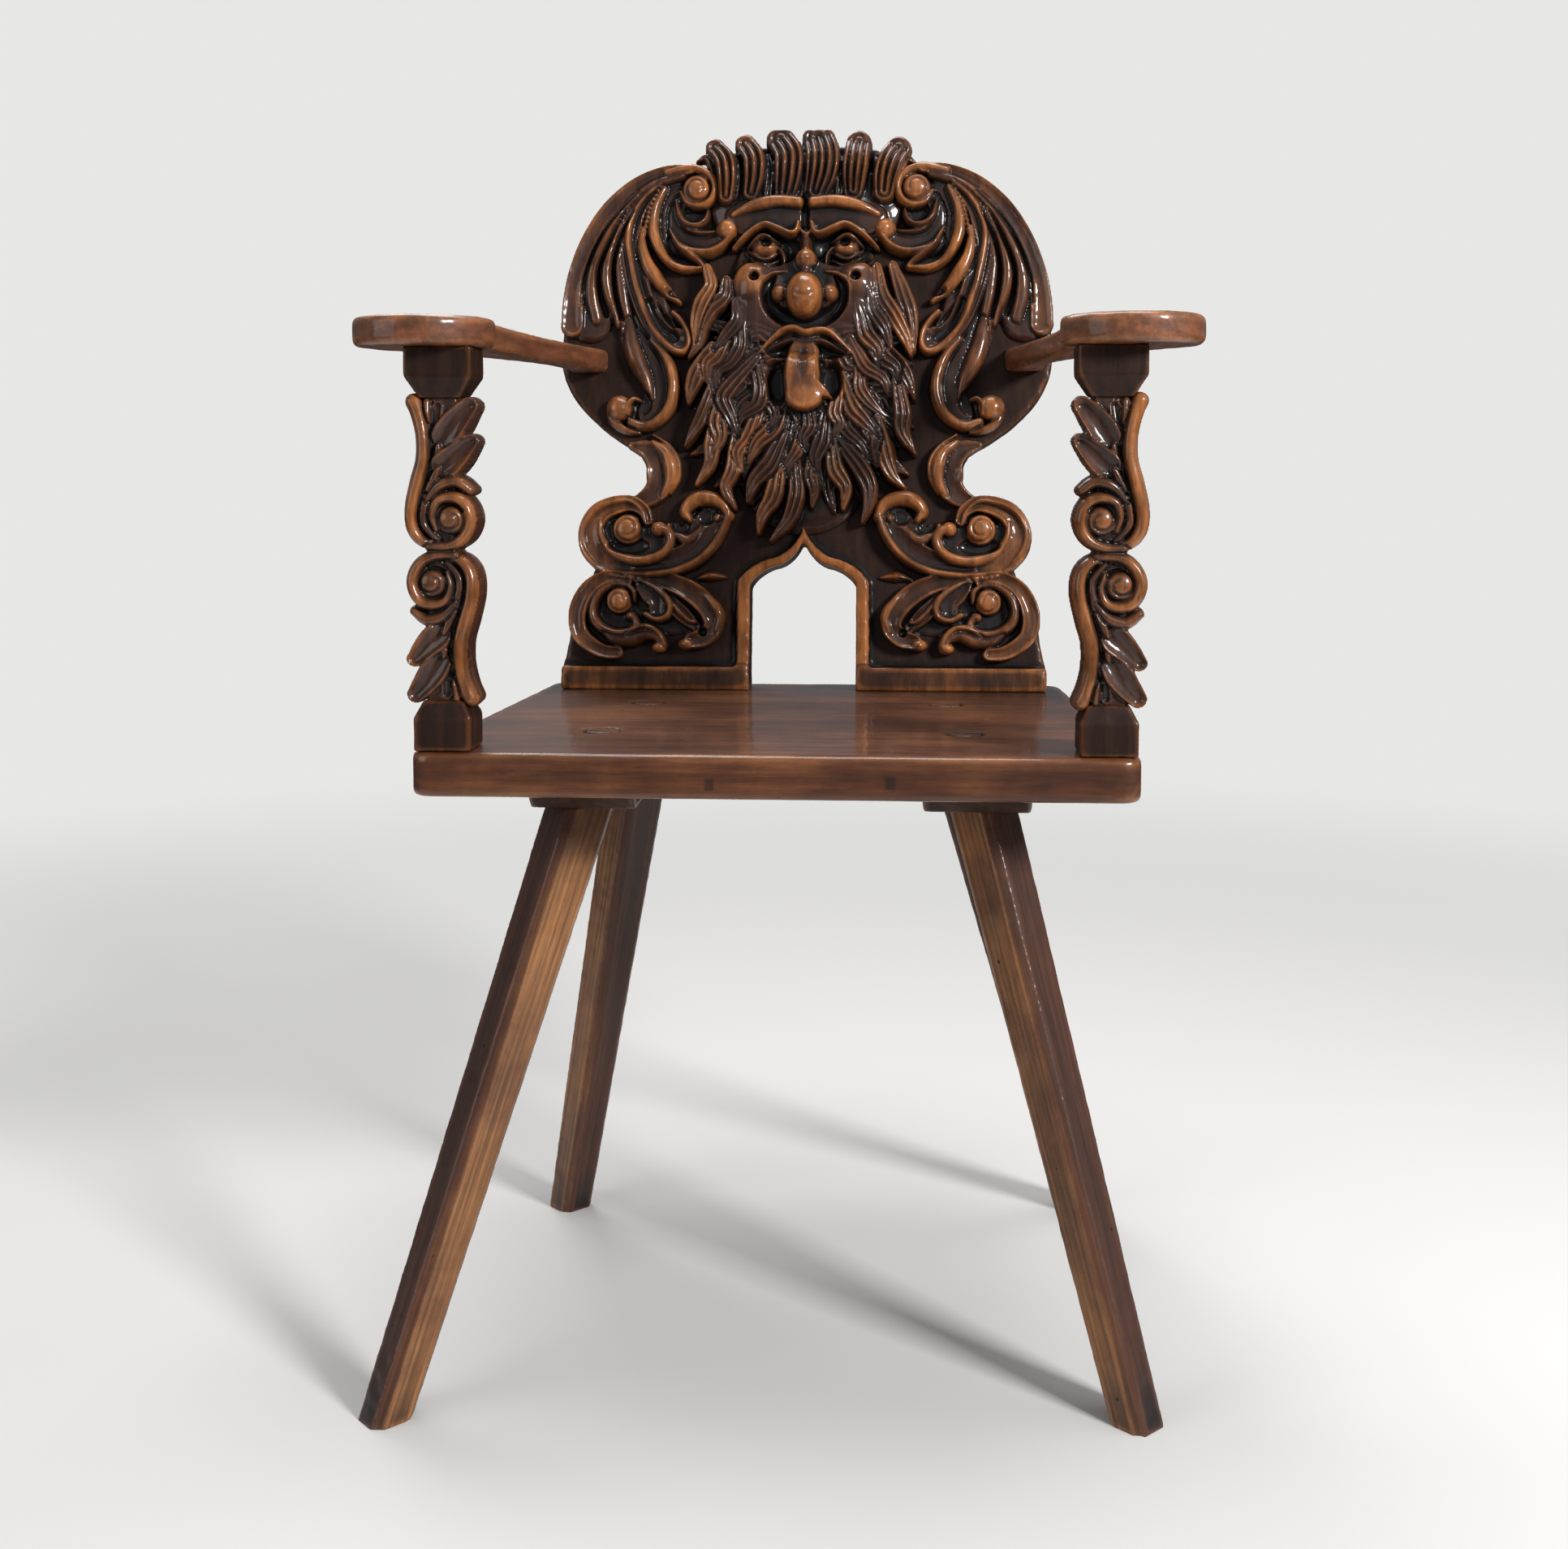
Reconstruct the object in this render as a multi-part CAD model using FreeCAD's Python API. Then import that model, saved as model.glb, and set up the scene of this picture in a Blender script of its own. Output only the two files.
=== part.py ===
import FreeCAD, Part
import math
import os

# A carved Alpine plank armchair: a plank seat on four splayed legs, a raked plank back carved with a
# bearded mask between leaves and scrolls, and two carved posts under flat arms.
# Sizes are in millimetres. X runs to the right, Y from the seat's front edge to the back, Z up.

V = FreeCAD.Vector

# Seat plank
SEAT_HEIGHT = 465.0
SEAT_THICK = 32.0
SEAT_FRONT_WIDTH = 518.0
SEAT_BACK_WIDTH = 466.0
SEAT_DEPTH = 420.0
SEAT_CORNER = 14.0
SEAT_EASE = 4.0

# Battens housed in the underside of the seat
BATTEN_WIDTH = 80.0
BATTEN_SETBACK = 58.0
BATTEN_BACK_GAP = 30.0
BATTEN_OFFSET = 146.0
BATTEN_DROP = 20.0
BATTEN_HOUSING = 8.0
BATTEN_CHAMFER = 12.0

# Legs: square, set cornerwise, tapered, with chamfered arrises and a round tenon through the seat
LEG_TOP_SIDE = 42.0
LEG_FOOT_SIDE = 30.0
LEG_ARRIS = 6.0
LEG_TENON = 26.0
FRONT_TENON_X = 138.0
FRONT_TENON_Y = 117.0
REAR_TENON_X = 126.0
REAR_TENON_Y = 280.0
FRONT_LEFT_FOOT = (-270.0, -42.0)
FRONT_RIGHT_FOOT = (257.0, -20.0)
REAR_LEFT_FOOT = (-208.0, 335.0)
REAR_RIGHT_FOOT = (252.0, 355.0)

# Wedges that spread the tenons
WEDGE_LENGTH = 28.0
WEDGE_HEAD = 4.0
WEDGE_TIP = 1.0

# Back plank, drawn flat on its own front face and then raked
BACK_FRONT = 373.0
BACK_RAKE = 9.0
BACK_THICK = 28.0
BACK_WIDTH = 436.0
BACK_TALL = 506.0
BACK_TENON_WIDTH = 60.0
BACK_TENON_THICK = 18.0
BACK_TENON_OFFSET = 135.0
TENON_PROUD = 3.0

# Keel arch at the foot of the back, with its moulding and the plinth beside it
ARCH_WIDTH = 96.0
ARCH_JAMB = 94.0
ARCH_RISE = 42.0
MOULDING_WIDTH = 11.0
MOULDING_PROUD = 8.0
PLINTH_TALL = 20.0
PLINTH_PROUD = 10.0
ARCH_TURN_ACROSS = 0.42
ARCH_TURN_UP = 0.43
ARCH_BULGE = 0.06

# Arms, their top measured from the top of the seat
ARM_RISE = 307.0
ARM_THICK = 21.0
ARM_REACH = 300.0
ARM_DISC_RADIUS = 50.0
ARM_DISC_Y = 30.0
ARM_NECK = 46.0
ARM_NECK_Y = 130.0
ARM_REAR_WIDTH = 46.0
ARM_EASE = 5.0
ARM_HOLLOW = 25.0
ARM_LEAD = 35.0
ARM_NECK_SHIFT = 3.4
ARM_TENON_WIDTH = 28.0
ARM_TENON_THICK = 13.0

# Carved posts
POST_OFFSET = 235.0
POST_DEPTH = 40.0
POST_SETBACK = 4.0
POST_BLOCK_WIDTH = 42.0
POST_BLOCK_TALL = 24.0
POST_SPREAD = 52.0
POST_FOOT_TENON = 22.0
POST_HEAD_TENON = 20.0
POST_HEAD_TENON_LENGTH = 14.0
POST_BEAD = 3.0
POST_NECK_INSET = 6.0
POST_CAPITAL_FLARE = 2.0
POST_EYE_RADIUS = 9.0
POST_RING_RADIUS = 19.0
POST_RING_HOLE = 13.0

# Steps of the post's ends: the chamfer over its base block, and its capital from the top down
POST_BASE_CHAMFER = 11.0
POST_CAPITAL_TALL = 18.0
POST_CAPITAL_COVE = 14.0
POST_CAPITAL_NECK = 6.0
POST_CARVING_GAP = 2.0

# The left post's two carved sides from the base block to the capital, as shares of half its spread and of
# the carving's height, and the eyes of its two scrolls
POST_OUTER = (
    (-1.0, 0.0), (-0.65, 0.14), (-0.85, 0.22), (-0.73, 0.31), (-1.0, 0.40), (-0.73, 0.47), (-0.35, 0.50),
    (-0.88, 0.57), (-1.0, 0.67), (-0.77, 0.81), (-0.92, 1.0),
)
POST_INNER = (
    (1.0, 0.0), (0.77, 0.18), (1.0, 0.34), (0.88, 0.45), (0.35, 0.50), (0.73, 0.54), (1.0, 0.62),
    (0.69, 0.71), (0.92, 0.79), (0.58, 0.89), (0.92, 1.0),
)
POST_EYES = ((-0.08, 0.39), (0.27, 0.62))

# Fits
TENON_CLEARANCE = 0.15
CARVING_CLEARANCE = 0.3

# The size of the drawing that the carving's points are given in
DRAWN_WIDTH = 436.0
DRAWN_TALL = 506.0

# Heights of the carving over the face of the plank
LEAF_HEIGHT = 14.0
SCROLL_HEIGHT = 14.0
GROUND_HEIGHT = 3.0
FACE_HEIGHT = 24.0
BEARD_HEIGHT = 27.0
HAIR_HEIGHT = 26.0
NOSE_HEIGHT = 46.0

# Heights of the mask's features as shares of the heights above
BEARD_CORE = 0.6
BROW_LIFT = 1.25
LIP_LIFT = 1.3
TONGUE_LIFT = 1.4
BRIDGE_SHARE = 0.85
NOSTRIL_LIFT = 1.5
CHEEK_LIFT = 1.3
EYEBALL_LIFT = 1.15
BRIDGE_WALL = 0.5
FEATURE_WALL = 0.33

# Share of its height that a ridge keeps where it is narrowest, and of its size that rounds an eye's rim
RIDGE_LOW = 0.7
EYE_EASE = 0.33

# Worked out from the sizes above
SEAT_UNDER = SEAT_HEIGHT - SEAT_THICK
BATTEN_UNDER = SEAT_UNDER - BATTEN_DROP
BATTEN_LENGTH = BACK_FRONT - BATTEN_BACK_GAP - BATTEN_SETBACK
ARM_TOP = SEAT_HEIGHT + ARM_RISE
ARM_UNDER = ARM_TOP - ARM_THICK
POST_TALL = ARM_UNDER - SEAT_HEIGHT
POST_CENTRE_Y = POST_SETBACK + POST_DEPTH / 2
ACROSS = BACK_WIDTH / DRAWN_WIDTH
ALONG = BACK_TALL / DRAWN_TALL
FAR = 3 * SEAT_FRONT_WIDTH
ROUND = ((-1.0, 0.0), (-0.8, 0.6), (-0.3, 1.0), (0.3, 1.0), (0.8, 0.6), (1.0, 0.0))
CUPPED = ((-1.0, 0.0), (-0.95, 0.85), (-0.7, 1.0), (0.0, 0.62), (0.7, 1.0), (0.95, 0.85), (1.0, 0.0))
EGG_SIDES = 12
EGG_RINGS = tuple(math.radians(a) for a in (0, 30, 58, 80))
RAKED = FreeCAD.Placement(V(0, BACK_FRONT, SEAT_HEIGHT), FreeCAD.Rotation(V(1, 0, 0), 90 - BACK_RAKE))

# The left half of the back's outline, from the seat up to the hair, in the drawing's units
OUTLINE_BASE = ((-218, 20), (-213, 42), (-208, 70), (-196, 94), (-180, 106))
OUTLINE_VOLUTE = ((-180, 106), (-198, 124), (-200, 146), (-186, 165), (-160, 171))
OUTLINE_WAIST = ((-160, 171), (-144, 184), (-141, 202), (-158, 220))
OUTLINE_SHOULDER = (
    (-158, 220), (-198, 249), (-222, 286), (-223, 328), (-208, 396), (-176, 446), (-110, 478), (-84, 474),
)
OUTLINE_CROWN = ((-84, 474), (-70, 494), (-36, 500), (0, 501))

# The leaf on the left shoulder: each lobe as its drawn line, half-width and height (start, middle, end)
LEAF_GROUND = (
    (-92, 476), (-150, 463), (-206, 396), (-220, 320), (-216, 284), (-166, 232), (-124, 244), (-116, 280),
    (-108, 310), (-112, 352), (-92, 386), (-70, 410),
)
LEAF_LOBES = (
    (((-88, 470), (-104, 475), (-140, 468), (-176, 443), (-201, 405), (-213, 365), (-217, 324)),
     (4, 7, 6), 0.85),
    (((-116, 464), (-150, 450), (-184, 415), (-197, 375), (-196, 338)), (3, 8, 5), 0.95),
    (((-126, 456), (-160, 432), (-178, 395), (-172, 336)), (3, 7, 4), 1.0),
    (((-136, 446), (-157, 415), (-158, 380), (-140, 335), (-112, 308)), (4, 8, 9), 0.95),
    (((-143, 424), (-144, 395), (-128, 364), (-110, 352)), (3, 7, 2), 0.95),
    (((-124, 452), (-137, 425), (-122, 392), (-90, 385)), (4, 8, 3), 1.1),
    (((-116, 440), (-116, 415), (-96, 402), (-72, 408), (-70, 418)), (3, 6, 5), 1.1),
    (((-165, 360), (-164, 315), (-150, 285), (-128, 280)), (5, 9, 3), 0.8),
    (((-140, 330), (-124, 296), (-119, 266), (-134, 244), (-158, 246), (-168, 257)), (5, 9, 6), 1.0),
)
LEAF_EYE = (-99, 456)
LEAF_EYE_RADIUS = 12.0
LEAF_EYE_LIFT = 1.25

# The scroll at the left waist
WAIST_LINE = ((-156, 222), (-136, 216), (-127, 200), (-132, 180), (-152, 172))
WAIST_WIDTH = (3, 10, 4)

# The volute and the base scroll on the left, the middle lines of their bands
VOLUTE_EYE = (-158, 143)
VOLUTE_START = 15.0
VOLUTE_END = 36.0
VOLUTE_TURN = (-10.0, 250.0)
VOLUTE_TAIL = ((-148, 109), (-116, 112), (-90, 126), (-76, 148), (-82, 168), (-102, 164))
VOLUTE_WIDTH = (4, 8, 5)
VOLUTE_SPRIG = ((-150, 120), (-126, 122), (-118, 138), (-132, 143))
BASE_EYE = (-168, 76)
BASE_START = 13.0
BASE_END = 36.0
BASE_TURN = (60.0, 262.0)
BASE_WIDTH = (4, 6, 5)
BASE_BRANCH = ((-160, 100), (-128, 96), (-98, 84), (-80, 62), (-90, 44), (-106, 40))
BASE_BRANCH_WIDTH = (4, 7, 5)
BASE_SPRIGS = (
    ((-140, 92), (-124, 80), (-128, 66), (-142, 66)),
    ((-112, 80), (-104, 64), (-94, 52)),
    ((-164, 44), (-148, 54), (-132, 48), (-130, 36)),
)
SPRIG_WIDTH = (3, 5, 4)
EYE_RADIUS = 10.0
HUSK = ((-92, 101), (-80, 100), (-70, 102))
SCROLL_GROUND = (
    (-204, 60), (-194, 90), (-176, 104), (-194, 124), (-197, 146), (-184, 162), (-160, 167), (-120, 150),
    (-104, 168), (-80, 172), (-70, 150), (-82, 124), (-104, 108), (-68, 103), (-84, 92), (-74, 62), (-86, 40),
    (-130, 34), (-190, 38),
)

# The head, drawn about its own middle; each lock as its line and half-width
HAIR_LOCKS = (
    (((-84, 452), (-84, 472), (-88, 488)), (8, 9, 5)),
    (((-64, 450), (-68, 476), (-74, 497)), (10, 11, 7)),
    (((-38, 450), (-42, 478), (-46, 500)), (11, 12, 8)),
    (((-13, 450), (-14, 480), (-18, 504)), (11, 13, 9)),
    (((13, 450), (14, 480), (16, 504)), (11, 13, 9)),
    (((40, 450), (42, 478), (46, 500)), (11, 12, 8)),
    (((66, 450), (70, 476), (76, 496)), (10, 11, 7)),
    (((84, 452), (88, 472), (94, 486)), (8, 9, 5)),
)
BEARD_LOCKS = (
    (((-78, 378), (-90, 335), (-98, 270)), (7, 11, 5)),
    (((-62, 352), (-82, 310), (-88, 262), (-102, 224)), (8, 12, 4)),
    (((-56, 300), (-72, 255), (-80, 215), (-92, 184)), (9, 13, 4)),
    (((-46, 270), (-58, 228), (-62, 196), (-60, 166)), (9, 13, 4)),
    (((-28, 262), (-36, 215), (-32, 176), (-38, 142)), (10, 13, 5)),
    (((-10, 250), (-12, 215), (-16, 170), (-24, 134)), (9, 12, 5)),
    (((8, 250), (10, 218), (12, 190), (14, 168)), (9, 12, 4)),
    (((26, 258), (32, 220), (40, 190), (40, 164)), (9, 12, 4)),
    (((44, 270), (54, 226), (62, 186), (58, 156)), (9, 12, 4)),
    (((54, 300), (70, 252), (82, 212), (92, 184)), (9, 13, 4)),
    (((62, 352), (80, 310), (92, 258), (102, 216)), (8, 12, 4)),
    (((78, 378), (92, 335), (98, 270)), (7, 11, 5)),
)
HEAD_GROUND = (
    (-90, 450), (-90, 486), (-44, 497), (0, 500), (44, 497), (90, 486), (90, 450), (64, 440), (60, 400),
    (84, 372), (96, 300), (92, 240), (70, 190), (0, 170), (-70, 190), (-92, 240), (-96, 300), (-84, 372),
    (-60, 400), (-64, 440),
)
BROW_LINE = ((-62, 404), (-50, 412), (-34, 421), (-14, 413), (-3, 418))
BROW_WIDTH = (3, 5, 3)
FOREHEAD_FOLD = ((-62, 434), (-34, 443), (-6, 442))
FOREHEAD_WIDTH = (4, 7, 4)
LIP_LINE = ((-40, 304), (-18, 321), (-2, 321))
LIP_WIDTH = (3, 5, 4)
TONGUE = ((1, 307), (1, 283), (5, 263), (14, 256))
TONGUE_WIDTH = (11, 13, 8)
FACE_EGG = ((0, 374), (62, 72))
BEARD_EGG = ((0, 268), (90, 110))
NOSE_TIP = ((0, 357), (13, 18))
NOSE_BRIDGE = ((0, 388), (9, 12))
NOSTRIL = ((-23, 357), (8, 9))
CHEEK = ((-46, 366), (16, 24))
EYEBALL = ((-34, 403), (10, 6))


def at(point):
    """A point of the drawing, laid out at the back's real size."""
    return V(point[0] * ACROSS, point[1] * ALONG, 0)


def smooth(points, per_span=2):
    """Points along a curve that passes through the given ones (Catmull-Rom)."""
    first = points[0] * 2 - points[1]
    last = points[-1] * 2 - points[-2]
    padded = [first] + list(points) + [last]
    result = []
    for i in range(1, len(padded) - 2):
        a, b, c, d = padded[i - 1:i + 3]
        for step in range(per_span):
            t = step / per_span
            even = b * 2 + (a * 2 - b * 5 + c * 4 - d) * t ** 2
            odd = (c - a) * t + (b * 3 - a - c * 3 + d) * t ** 3
            result.append((even + odd) * 0.5)
    return result + [points[-1]]


def swell(sizes, t):
    """A size that changes from start over middle to end along a line, t from 0 to 1."""
    start, middle, end = sizes
    return start * (2 * t - 1) * (t - 1) + middle * 4 * t * (1 - t) + end * t * (2 * t - 1)


def skin(rings):
    """A closed solid over rings of corners, its sides cut into flat three-cornered facets."""
    faces = [Part.Face(Part.makePolygon(ring + ring[:1])) for ring in (rings[0], rings[-1])]
    for near, far in zip(rings, rings[1:]):
        for i in range(len(near)):
            j = (i + 1) % len(near)
            for corners in ((near[i], near[j], far[j]), (near[i], far[j], far[i])):
                faces.append(Part.Face(Part.makePolygon(corners + corners[:1])))
    solid = Part.Solid(Part.makeShell(faces))
    if solid.Volume < 0:
        solid.reverse()
    return solid


def ridge(points, widths, height, section=ROUND, per_span=2):
    """A carved ridge along a line on the plank's face, its section swelling with the widths."""
    line = smooth(points, per_span)
    rings = []
    for i, p in enumerate(line):
        t = i / (len(line) - 1)
        ahead = line[min(i + 1, len(line) - 1)] - line[max(i - 1, 0)]
        side = V(-ahead.y, ahead.x, 0).normalize()
        half = swell(widths, t)
        rise = height * (RIDGE_LOW + (1 - RIDGE_LOW) * half / max(widths))
        rings.append([p + side * (half * s) + V(0, 0, rise * h) for s, h in section])
    return skin(rings)


def drawn_ridge(points, widths, height, section=ROUND, per_span=2):
    """A ridge whose line is given in the drawing's units."""
    return ridge([at(p) for p in points], widths, height, section, per_span)


def spiral(eye, start, end, turn, steps=9):
    """Points of a scroll that widens from start to end radius while it turns, angles in degrees."""
    centre = at(eye)
    points = []
    for i in range(steps):
        t = i / (steps - 1)
        angle = math.radians(turn[0] + (turn[1] - turn[0]) * t)
        radius = start + (end - start) * t
        points.append(centre + V(math.cos(angle), math.sin(angle), 0) * radius)
    return points


def egg(spec, height, foot=0.0):
    """A faceted half egg on the plank's face; foot is the height of the upright wall under its dome."""
    (u, v), (half_u, half_v) = spec
    centre = at((u, v))
    levels = [(0.0, 1.0)] if foot > 0 else []
    levels += [(foot + (height - foot) * math.sin(a), math.cos(a)) for a in EGG_RINGS]
    rings = []
    for z, share in levels:
        ring = []
        for i in range(EGG_SIDES):
            angle = 2 * math.pi * (i + 0.5) / EGG_SIDES
            ring.append(centre + V(half_u * share * math.cos(angle), half_v * share * math.sin(angle), z))
        rings.append(ring)
    return skin(rings)


def boss(point, radius, height):
    """The round eye of a scroll, with its rim eased."""
    eye = Part.makeCylinder(radius, height, at(point))
    rim = max(eye.Edges, key=lambda e: e.BoundBox.ZMin)
    return eye.makeFillet(min(radius, height) * EYE_EASE, [rim])


def mirrored(shape):
    """The same piece on the chair's other side."""
    return shape.mirror(V(0, 0, 0), V(1, 0, 0))


def mirrored_point(point):
    """A point of the drawing on the other side."""
    return (-point[0], point[1])


def drawn_curve(points):
    """A smooth edge through points of the drawing."""
    curve = Part.BSplineCurve()
    curve.interpolate([at(p) for p in points])
    return curve.toShape()


def slab(z_low, z_high):
    """A wide level slab of space, used to cut pieces flat."""
    return Part.makeBox(2 * FAR, 2 * FAR, z_high - z_low, V(-FAR, -FAR, z_low))


def wedge(head, axis, across, width):
    """A wedge driven along the axis from the middle of its head; across is the way it is thin."""
    side = axis.cross(across).normalize() * (width / 2)
    tip = head + axis * WEDGE_LENGTH
    thick = across * (WEDGE_HEAD / 2)
    thin = across * (WEDGE_TIP / 2)
    corners = [head - thick - side, head + thick - side, tip + thin - side, tip - thin - side]
    return Part.Face(Part.makePolygon(corners + corners[:1])).extrude(side * 2)


def level_polygon(points, z):
    """A flat face through plan points at a height."""
    corners = [V(x, y, z) for x, y in points]
    return Part.Face(Part.makePolygon(corners + corners[:1]))


def make_leg(foot, head):
    """One leg with its round tenon, and the axis that it follows, from the foot to the seat's top."""
    low = V(foot[0], foot[1], 0)
    high = V(head[0], head[1], SEAT_HEIGHT)
    axis = (high - low).normalize()
    reach = LEG_TOP_SIDE
    wires = []
    for base, side in ((low - axis * reach, LEG_FOOT_SIDE), (high, LEG_TOP_SIDE)):
        half = side / 2
        inner = half - LEG_ARRIS
        corners = ((half, inner), (inner, half), (-inner, half), (-half, inner),
                   (-half, -inner), (-inner, -half), (inner, -half), (half, -inner))
        turn = FreeCAD.Rotation(V(0, 0, 1), axis).multiply(FreeCAD.Rotation(V(0, 0, 1), 45))
        points = [base + turn.multVec(V(x, y, 0)) for x, y in corners]
        wires.append(Part.makePolygon(points + points[:1]))
    body = Part.makeLoft(wires, True, True).common(slab(0, BATTEN_UNDER))
    tenon = leg_bore(foot, head, LEG_TENON).common(slab(BATTEN_UNDER, SEAT_HEIGHT))
    return body.fuse(tenon).removeSplitter(), axis


def leg_bore(foot, head, diameter):
    """A round bar along a leg's axis, long enough to pass the seat and the batten."""
    low = V(foot[0], foot[1], 0)
    high = V(head[0], head[1], SEAT_HEIGHT)
    axis = (high - low).normalize()
    return Part.makeCylinder(diameter / 2, FAR, high - axis * (SEAT_THICK + BATTEN_DROP) * 2, axis)


def make_seat_blank():
    """The seat plank before its mortises, with eased corners and edges."""
    front = SEAT_FRONT_WIDTH / 2
    rear = SEAT_BACK_WIDTH / 2
    outline = level_polygon(((-front, 0), (front, 0), (rear, SEAT_DEPTH), (-rear, SEAT_DEPTH)), SEAT_UNDER)
    seat = outline.extrude(V(0, 0, SEAT_THICK))
    upright = [e for e in seat.Edges if abs(e.BoundBox.ZLength - SEAT_THICK) < 1e-6]
    seat = seat.makeFillet(SEAT_CORNER, upright)
    flat = [e for e in seat.Edges if e.BoundBox.ZLength < 1e-6]
    return seat.makeFillet(SEAT_EASE, flat)


def make_batten(side, grow=0.0):
    """A batten on one side (-1 left, 1 right), its lower ends chamfered; grow widens it for its housing."""
    top = SEAT_UNDER + BATTEN_HOUSING + grow
    near = BATTEN_SETBACK - grow
    far = BATTEN_SETBACK + BATTEN_LENGTH + grow
    x = side * BATTEN_OFFSET - BATTEN_WIDTH / 2 - grow
    low = BATTEN_UNDER + BATTEN_CHAMFER
    profile = ((near, top), (far, top), (far, low), (far - BATTEN_CHAMFER, BATTEN_UNDER),
               (near + BATTEN_CHAMFER, BATTEN_UNDER), (near, low))
    corners = [V(x, y, z) for y, z in profile]
    return Part.Face(Part.makePolygon(corners + corners[:1])).extrude(V(BATTEN_WIDTH + 2 * grow, 0, 0))


def arch_edges(grow):
    """The keel arch's line from its left foot to its right foot, moved outward by grow."""
    half = ARCH_WIDTH / 2 + grow
    spring = ARCH_JAMB + grow / 3
    apex = ARCH_JAMB + ARCH_RISE + grow
    low = -ARCH_JAMB
    mid_u = half * ARCH_TURN_ACROSS
    mid_v = spring + (apex - spring) * ARCH_TURN_UP
    left_low = V(-half, low, 0)
    left_spring = V(-half, spring, 0)
    left_mid = V(-mid_u, mid_v, 0)
    top = V(0, apex, 0)
    bulge = (apex - spring) * ARCH_BULGE
    rise_point = (left_spring + left_mid) * 0.5 + V(-bulge, bulge, 0)
    dip_point = (left_mid + top) * 0.5 + V(bulge, -bulge, 0)
    left = [Part.makeLine(left_low, left_spring), Part.Arc(left_spring, rise_point, left_mid).toShape(),
            Part.Arc(left_mid, dip_point, top).toShape()]
    right = [mirrored(e) for e in reversed(left)]
    closing = Part.makeLine(V(half, low, 0), left_low)
    return left + right + [closing]


def arch_prism(grow, low, high):
    """The arch's shape as a prism between two heights over the plank's face."""
    wire = Part.Wire(Part.__sortEdges__(arch_edges(grow)))
    return Part.Face(wire).extrude(V(0, 0, high - low)).translated(V(0, 0, low))


def make_outline():
    """The back's whole outline as a face on the plank's front."""
    base = at((-BACK_WIDTH / 2 / ACROSS, 0))
    edges = [Part.makeLine(V(base.x, -ARCH_JAMB, 0), at(OUTLINE_BASE[0]))]
    for stretch in (OUTLINE_BASE, OUTLINE_VOLUTE, OUTLINE_WAIST, OUTLINE_SHOULDER, OUTLINE_CROWN):
        edges.append(drawn_curve(stretch))
    edges += [mirrored(e) for e in reversed(edges)]
    edges.append(Part.makeLine(V(-base.x, -ARCH_JAMB, 0), V(base.x, -ARCH_JAMB, 0)))
    return Part.Face(Part.Wire(Part.__sortEdges__(edges)))


def back_tenon(side, grow):
    """A tenon of the back plank, raked with it, before it is cut to length."""
    x = side * BACK_TENON_OFFSET - BACK_TENON_WIDTH / 2 - grow
    thick = BACK_TENON_THICK + 2 * grow
    near = -(BACK_THICK + thick) / 2
    bar = Part.makeBox(BACK_TENON_WIDTH + 2 * grow, 2 * SEAT_HEIGHT, thick, V(x, -SEAT_HEIGHT, near))
    bar.Placement = RAKED
    return bar


def arm_tenon(side, grow):
    """The tenon of an arm, level, through the back plank."""
    x = side * arm_rear_centre() - ARM_TENON_WIDTH / 2 - grow
    z = ARM_UNDER + (ARM_THICK - ARM_TENON_THICK) / 2 - grow
    return Part.makeBox(ARM_TENON_WIDTH + 2 * grow, FAR, ARM_TENON_THICK + 2 * grow, V(x, ARM_NECK_Y, z))


def arm_rear_centre():
    """How far from the chair's middle an arm meets the back, inside the shoulder's edge."""
    return -OUTLINE_SHOULDER[2][0] * ACROSS - ARM_REAR_WIDTH / 2


def behind(depth):
    """All the space more than a depth behind the plank's front face."""
    block = Part.makeBox(2 * FAR, 2 * FAR, FAR, V(-FAR, -FAR, -FAR - depth))
    block.Placement = RAKED
    return block


def make_back():
    """The back plank: sawn outline, keel arch with its moulding, plinth, tenons and arm mortises."""
    face = make_outline()
    plank = face.extrude(V(0, 0, -BACK_THICK))
    moulding = arch_prism(MOULDING_WIDTH, 0, MOULDING_PROUD)
    corner = V(-BACK_WIDTH / 2, -ARCH_JAMB, 0)
    plinth = Part.makeBox(BACK_WIDTH, ARCH_JAMB + PLINTH_TALL, PLINTH_PROUD, corner)
    plank = plank.fuse([moulding, plinth])
    plank = plank.cut(arch_prism(0, -2 * BACK_THICK, 2 * BACK_THICK))
    plank.Placement = RAKED
    plank = plank.common(slab(SEAT_HEIGHT, FAR))
    for side in (-1, 1):
        tenon = back_tenon(side, 0).common(slab(SEAT_UNDER - TENON_PROUD, SEAT_HEIGHT))
        plank = plank.fuse(tenon)
        plank = plank.cut(arm_tenon(side, TENON_CLEARANCE))
    return plank.removeSplitter()


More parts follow.
